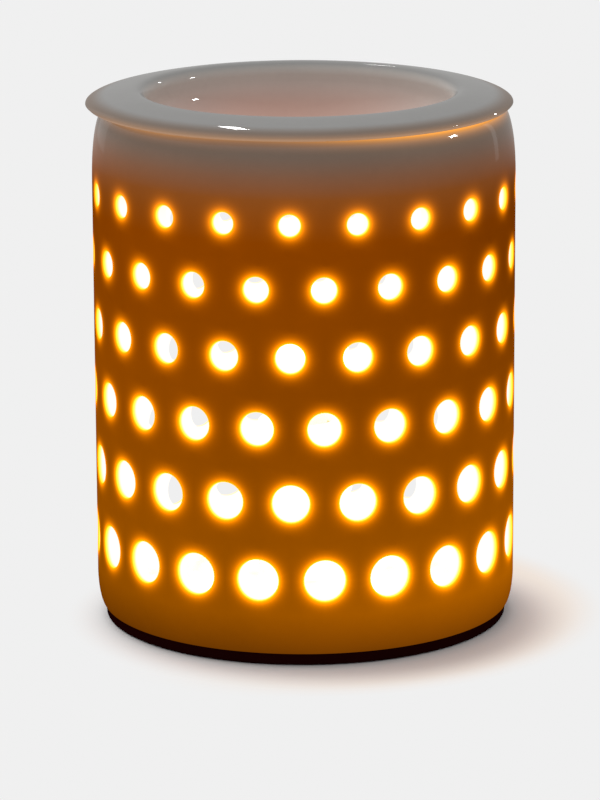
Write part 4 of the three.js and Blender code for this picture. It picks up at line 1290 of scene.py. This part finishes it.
class LAMP_OT_clamp(bpy.types.Operator):
    """Builds the strap that holds the porcelain down, with its screws and nuts."""
    bl_idname = "lamp.clamp"
    bl_label = "Clamping strap"

    def execute(self, context):
        look = context.scene.lamp_fittings
        steel = metal("steel", look.steel, tarnish=0.7, roughness=0.36, stretch=(0.06, 1.0, 1.0), inside=0.9)
        dress(steel, "bridge_strap", "holder_screw", "holder_nut", "block_fixing_screw",
              *pair("terminal_screw"), *pair("block_screw_front"), *pair("block_screw_back"))
        dress(rubber_finish(look), *pair("strap_pad"))
        screw = turned("screw", screw_profile(), steel, sides=40)
        long, narrow, deep = 1.9, 0.4, 2.0
        carved(screw, [brick(-x, x, -y, y, 0.0, deep) for x, y in ((long, narrow), (narrow, long))])
        screws = ringed("base_screws", screw, steel, count=2, radius=SCREW_X * MM)
        settle(edged(screws, 30.0), "lamp", "steel", *pair("base_screw"))
        nut = turned("nut", nut_profile(), steel, sides=6, ring=True)
        nuts = ringed("base_nuts", nut, steel, count=2, radius=SCREW_X * MM)
        settle(edged(nuts, 25.0), "lamp", "steel", *pair("base_nut"))
        return {"FINISHED"}


# Lampholder and wiring

def holder_profile():
    """A ceramic body with a groove round it, a well for the sleeve and a pit for the live contact."""
    bore, pit = 8.2, 4.2
    groove_r, groove_z = HOLDER_R - 0.5, 34.0
    groove = [(HOLDER_R, groove_z, 0.3), (groove_r, groove_z + 0.4, 0.2), (groove_r, groove_z + 1.4, 0.2),
              (HOLDER_R, groove_z + 1.8, 0.3)]
    return softened([(0.0, HOLDER_Z, 0), (HOLDER_R, HOLDER_Z, 0.7), *groove, (HOLDER_R, HOLDER_TOP, 1.2),
                     (bore, HOLDER_TOP, 0.5), (bore, WELL_Z, 0.3), (pit, WELL_Z, 0.3), (pit, PIT_Z, 0),
                     (0.0, PIT_Z, 0)])


def carve_holder(body):
    """Chambers for both contacts, a channel for the nut and bores for the screws."""
    past = HOLDER_R + 1.5
    half = 3.2
    leg_x, leg_z = 9.3, HOLDER_Z + 2.4
    live_top = PIT_Z + 2.4
    tongue_x, tongue_z = 5.2, SLEEVE_Z - 1.8
    trap = HOLDER_NUT_R + SEAT_GAP
    carved(body, [brick(leg_x, past, -half, half, leg_z, live_top),
                  brick(0.0, past, -half, half, PIT_Z, live_top)])
    carved(body, [brick(-past, -leg_x, -half, half, leg_z, SLEEVE_Z),
                  brick(-past, -tongue_x, -half, half, tongue_z, SLEEVE_Z)])
    carved(body, [brick(-trap, trap, -past, trap, HOLDER_NUT_Z - SEAT_GAP, HOLDER_NUT_TOP + SEAT_GAP),
                  rod(SCREW_R + SEAT_GAP, HOLDER_Z - 1.6, HOLDER_NUT_TOP + 2.8)])
    shank, shank_end = 1.7, -5.0
    raised = Matrix.Translation((0.0, 0.0, TERMINAL_Z * MM))
    turns = [raised @ Matrix.Rotation(turn, 4, "Y") for turn in (math.pi / 2, -math.pi / 2)]
    carved(body, [shift(rod(shank, -HOLDER_R - 0.5, shank_end), turn) for turn in turns])


def sleeve_profile():
    """A thin cup with a hole in its floor."""
    opening, inside, outside = 4.6, 7.1, 7.5
    floor_top = SLEEVE_Z + SLEEVE_WALL
    return [(opening, SLEEVE_Z), (inside, SLEEVE_Z), *upright(outside, SLEEVE_Z, SLEEVE_TOP)[1:],
            *upright(inside, SLEEVE_TOP, floor_top), (opening, floor_top)]


class LAMP_OT_lampholder(bpy.types.Operator):
    """Builds the ceramic lampholder with its threaded sleeve and contacts."""
    bl_idname = "lamp.lampholder"
    bl_label = "Lampholder"

    def execute(self, context):
        look = context.scene.lamp_fittings
        ceramic = moulded("holder_ceramic", look.ceramic, roughness=0.5, grain=700.0, depth=0.00006,
                          inside=0.85)
        brass = metal("brass", look.brass, tarnish=0.6, roughness=0.32, stretch=(1.0, 1.0, 0.08), inside=0.4)
        dress(brass, "live_contact", "neutral_contact", *pair("block_insert"))
        body = turned("lampholder", holder_profile(), ceramic, sides=96)
        carve_holder(body)
        settle(edged(body, 35.0), "lamp", "holder_ceramic", "lampholder_body")
        sleeve = turned("threaded_sleeve", sleeve_profile(), brass, sides=64, ring=True, thread=0.00035,
                        pitch=context.scene.lamp_bulb.pitch, phase=math.pi / 2,
                        thread_from=(SLEEVE_Z + 1.4) * MM, thread_to=(SLEEVE_TOP - 0.3) * MM)
        settle(edged(sleeve, 50.0), "lamp", "brass", "thread_sleeve")
        return {"FINISHED"}


def lead_route():
    """The right lead, from the terminal block round the lampholder to its contact."""
    block_x, block_z, contact_z = 6.0, 9.7, 15.4
    start_y, exit_y = 23.1, 19.5
    clear = HOLDER_R + 2.2
    turns = [math.radians(degrees) for degrees in (50, 25, 4)]
    bends = [(clear * math.cos(turn), clear * math.sin(turn), contact_z) for turn in turns]
    return [(block_x, start_y, block_z), (block_x, exit_y, block_z), *bends, (HOLDER_R, 0.0, contact_z),
            (HOLDER_R - 3.0, 0.0, contact_z)]


def gland_profile():
    """A bush with a flange on both sides of the porcelain."""
    bore, waist, flange = 3.7, 4.8, (GLAND_HIGH - GLAND_LOW) / 2
    inner, outer = 55.2, 60.1
    thick = 1.6
    return softened([(bore, inner - thick, 0.3), (flange, inner - thick, 0.4), (flange, inner, 0.2),
                     (waist, inner, 0), (waist, outer, 0), (flange, outer, 0.2), (flange, outer + 0.8, 0.5),
                     (flange - 1.2, outer + thick, 0.5), (bore, outer + thick, 0.5)])


class LAMP_OT_wiring(bpy.types.Operator):
    """Builds the terminal block, the leads and the cord gland."""
    bl_idname = "lamp.wiring"
    bl_label = "Wiring"

    def execute(self, context):
        look = context.scene.lamp_fittings
        nylon = moulded("nylon", look.nylon, roughness=0.45, grain=900.0, depth=0.00005, inside=0.8)
        dress(nylon, "terminal_block")
        sleeving = sleeving_finish(look.sleeving)
        for side, name in ((-1, "left"), (1, "right")):
            points = [(side * x, y, z) for x, y, z in smooth_route(lead_route())]
            lead = swept("lead_sleeve_" + name, points, sleeving, sides=14, radius=LEAD_R * MM)
            settle(edged(lead, 60.0), "lamp", "lead_sleeving", "lead_" + name)
        gland = turned("gland", gland_profile(), rubber_finish(look), sides=64, ring=True)
        lay = Matrix.Rotation(math.radians(GLAND_TURN), 4, "Z") @ Matrix.Rotation(math.pi / 2, 4, "X")
        shift(gland, Matrix.Translation((0.0, 0.0, GLAND_Z * MM)) @ lay)
        settle(edged(gland, 45.0), "lamp", "rubber", "cord_gland")
        return {"FINISHED"}


# Bulb

def cap_profile():
    """A thin screw cap that flares where it holds the glass."""
    bore, skin, flare = 6.0, 6.4, 7.35
    outside = upright(skin, CAP_Z, CAP_TOP - 3.0)
    lip = bent(outside[-1], (skin + 0.2, CAP_TOP - 1.0), (flare, CAP_TOP), 6)[1:]
    inside = upright(bore, CAP_TOP - 3.4, CAP_Z)
    return outside + lip + [(flare - 0.35, CAP_TOP), (bore + 0.2, CAP_TOP - 2.5)] + inside


def glass_line(inset):
    """From the neck of the bulb up to its crown, this far inside the glass."""
    neck = 5.7 - inset
    middle = 9.1 - inset
    belly = GLASS_R - inset
    bend_z = CAP_TOP + 6
    line = [(neck, GLASS_Z), (neck, CAP_TOP)]
    line += bent((neck, CAP_TOP), (neck, bend_z), (middle, bend_z), 8)[1:]
    line += bent((middle, bend_z), (belly, bend_z), (belly, CAP_TOP + 12.0), 8)[1:]
    line += arc(0.0, GLASS_TOP - GLASS_R, belly, 0, 90, 24)
    line[-1] = (0.0, line[-1][1])
    return line


def stem_profile():
    """A flared foot that narrows to a rod."""
    foot_r, rod_r, tip_r = 4.6, 1.7, 1.3
    foot_top = STEM_Z + 0.6
    waist = bent((foot_r, foot_top), (rod_r, foot_top), (rod_r, STEM_Z + 8.0), 8)
    return [(0.0, STEM_Z), (foot_r, STEM_Z), *waist, (rod_r, STEM_TOP - 0.7), (tip_r, STEM_TOP),
            (0.0, STEM_TOP)]


class LAMP_OT_bulb(bpy.types.Operator):
    """Builds the bulb with its screw cap and filament."""
    bl_idname = "lamp.bulb"
    bl_label = "Bulb"

    def execute(self, context):
        look = context.scene.lamp_bulb
        metals = context.scene.lamp_fittings
        nickel = metal("nickel", metals.nickel, tarnish=0.75, roughness=0.26, stretch=(1.0, 1.0, 0.1),
                       inside=0.4)
        dress(nickel, *pair("lead_in_wire"), *pair("filament_support"))
        dress(metal("solder", metals.solder, tarnish=0.7, roughness=0.5), "bulb_contact")
        dress(black_glass_finish(), "bulb_insulator")
        cap = turned("screw_cap", cap_profile(), nickel, sides=64, ring=True, thread=0.0003, pitch=look.pitch,
                     phase=math.pi / 2, thread_from=(CAP_Z + 1.3) * MM, thread_to=(CAP_TOP - 4.7) * MM)
        settle(edged(cap, 50.0), "bulb", "nickel", "bulb_cap")
        glass = glass_finish(look.glass, look.glow)
        wall = 0.55
        envelope = turned("bulb_envelope", glass_line(wall)[::-1] + glass_line(0.0), glass, sides=72)
        settle(envelope, "bulb", "bulb_glass", "bulb_glass")
        mount = turned("glass_stem", stem_profile(), glass, sides=32)
        settle(edged(mount, 50.0), "bulb", "bulb_glass", "bulb_stem")
        half, sag = 5.0, 6.4
        arch = [(x, y, FILAMENT_Z) for x, y in bent((-half, 0.0), (0.0, sag), (half, 0.0), 360)]
        tungsten = tungsten_finish(look.filament, look.level)
        coil = swept("filament_coil", arch, tungsten, sides=5, radius=0.09 * MM, winds=34.0,
                     winding_radius=0.33 * MM)
        settle(coil, "bulb", "tungsten", "filament")
        return {"FINISHED"}


# Stage

# Lamps that only show in gloss: turn and tilt in degrees, width and height in metres, power in watts
HIGHLIGHTS = {
    "back_strip": (-172.5, 39.5, 0.03, 0.12, 1.0),
    "left_window": (-146.0, 10.0, 0.4, 0.9, 0.38),
    "right_window": (127.0, 8.0, 0.1, 0.8, 0.22),
    "right_strip": (95.0, 23.0, 0.1, 0.07, 4.0),
    "right_spot": (140.0, 22.0, 0.05, 0.05, 1.6),
}


def toward(turn, tilt):
    """Direction at a turn from the front and a tilt above the floor."""
    level = math.cos(tilt)
    return Vector((math.sin(turn) * level, -math.cos(turn) * level, math.sin(tilt)))


def aimed(lamp, direction):
    """Turns a lamp that stands in a direction to face the object."""
    lamp.rotation_euler = (-direction).to_track_quat("-Z", "Y").to_euler()


def highlight(name, turn, tilt, width, height, power):
    """A rectangular lamp that faces the top of the object."""
    reach, aim_z = 1.2, 0.15
    data = bpy.data.lights.new(name, "AREA")
    data.shape = "RECTANGLE"
    data.size = width
    data.size_y = height
    data.energy = power
    lamp = placed(name, data)
    direction = toward(math.radians(turn), math.radians(tilt))
    aimed(lamp, direction)
    lamp.location = direction * reach + Vector((0.0, 0.0, aim_z))
    lamp.visible_diffuse = False
    lamp.visible_transmission = False


def key_light(look):
    """A wide soft sun that leaves no mirror image."""
    data = bpy.data.lights.new("key", "SUN")
    data.angle = look.key_width
    data.energy = look.key * math.pi / math.sin(look.key_tilt)
    lamp = placed("key", data)
    aimed(lamp, toward(look.key_turn, look.key_tilt))
    lamp.visible_glossy = False


def studio_world(look):
    """Even light, with the backdrop's own level for rays from the camera, from gloss and through glass."""
    world = bpy.data.worlds.new("studio")
    world.use_nodes = True
    graph = Graph(world.node_tree)
    path = graph.add("ShaderNodeLightPath")
    direct = path.other("Is Camera Ray")
    mirrored = path.other("Is Glossy Ray")
    shown = direct.most(mirrored).most(path.other("Is Transmission Ray"))
    level = shown * (look.background - look.sky) + look.sky
    surface = world.node_tree.nodes["Background"]
    world.node_tree.links.new(level.link, surface.inputs["Strength"])
    surface.inputs["Color"].default_value = (1.0, 1.0, 1.0, 1.0)
    return world


def floor_finish(look):
    """A lit table: shadow shows near the lamp, and away from it the floor shines like the backdrop."""
    finish = Finish("studio_floor")
    x, y, _ = finish.spot()
    away = diagonal(x - look.shadow_side / MM, y + look.shadow_front / MM)
    plain_floor = away.smooth(look.shadow_inner / MM, look.shadow_outer / MM)
    # Painted lamplight: a peach-tinted pool on the floor to the lamp's right
    painted_lamplight = diagonal(x, y).smooth(88.0, 72.0) * x.smooth(-60.0, 30.0)
    pale = (look.background,) * 3
    dark = (0.0, 0.0, 0.0)
    return finish.set({
        "Base Color": finish.mix(plain_floor, pale, dark),
        "Roughness": 1.0,
        "Specular IOR Level": 0.0,
        "Emission Color": finish.mix(plain_floor, dark, finish.mix(painted_lamplight, pale, look.floor_glow)),
        "Emission Strength": 1.0,
    })


def floor_plane(work):
    """A wide level square."""
    bmesh.ops.create_grid(work, x_segments=1, y_segments=1, size=8.0)


def studio_camera(look):
    """Looks down at the lamp from the front."""
    data = bpy.data.cameras.new("camera")
    data.lens = look.lens
    data.sensor_width = 36.0
    data.shift_x = look.off_centre
    data.clip_end = 50.0
    camera = placed("camera", data)
    camera.matrix_world = (
        Matrix.Translation((0.0, 0.0, look.aim))
        @ Matrix.Rotation(math.pi / 2 - look.pitch, 4, "X")
        @ Matrix.Translation((0.0, 0.0, look.distance))
        @ Matrix.Rotation(look.roll, 4, "Z"))
    return camera


class LAMP_OT_stage(bpy.types.Operator):
    """Builds the floor, the light and the camera."""
    bl_idname = "lamp.stage"
    bl_label = "Stage"

    def execute(self, context):
        look = context.scene.lamp_stage
        scene = context.scene
        scene.view_settings.view_transform = "Standard"
        scene.world = studio_world(look)
        floor = solid("studio_floor", floor_plane)
        floor.data.materials.append(floor_finish(look))
        key_light(look)
        for name, row in HIGHLIGHTS.items():
            highlight(name, *row)
        scene.camera = studio_camera(look)
        return {"FINISHED"}


# Add-on

PIECES = (LAMP_OT_stage, LAMP_OT_shade, LAMP_OT_dish, LAMP_OT_base, LAMP_OT_clamp, LAMP_OT_lampholder,
          LAMP_OT_wiring, LAMP_OT_bulb)
SETTINGS = {"lamp_shade": LampShade, "lamp_dish": LampDish, "lamp_fittings": LampFittings,
            "lamp_bulb": LampBulb, "lamp_stage": LampStage}


class LAMP_PT_panel(bpy.types.Panel):
    """Lists the pieces of the lamp and their settings."""
    bl_idname = "LAMP_PT_panel"
    bl_label = "Fragrance lamp"
    bl_space_type = "VIEW_3D"
    bl_region_type = "UI"
    bl_category = "Lamp"

    def draw(self, context):
        for piece in PIECES:
            self.layout.operator(piece.bl_idname)
        for name, group in SETTINGS.items():
            box = self.layout.box()
            for label in group.__annotations__:
                box.prop(getattr(context.scene, name), label)


def register():
    for group in (*SETTINGS.values(), *PIECES, LAMP_PT_panel):
        bpy.utils.register_class(group)
    for name, group in SETTINGS.items():
        setattr(bpy.types.Scene, name, PointerProperty(type=group))


def unregister():
    for name in SETTINGS:
        delattr(bpy.types.Scene, name)
    for group in reversed((*SETTINGS.values(), *PIECES, LAMP_PT_panel)):
        bpy.utils.unregister_class(group)


def main():
    register()
    bpy.ops.lamp.stage()
    bpy.ops.lamp.shade()
    bpy.ops.lamp.dish()
    bpy.ops.lamp.base()
    bpy.ops.lamp.clamp()
    bpy.ops.lamp.lampholder()
    bpy.ops.lamp.wiring()
    bpy.ops.lamp.bulb()


if __name__ == "__main__":
    main()
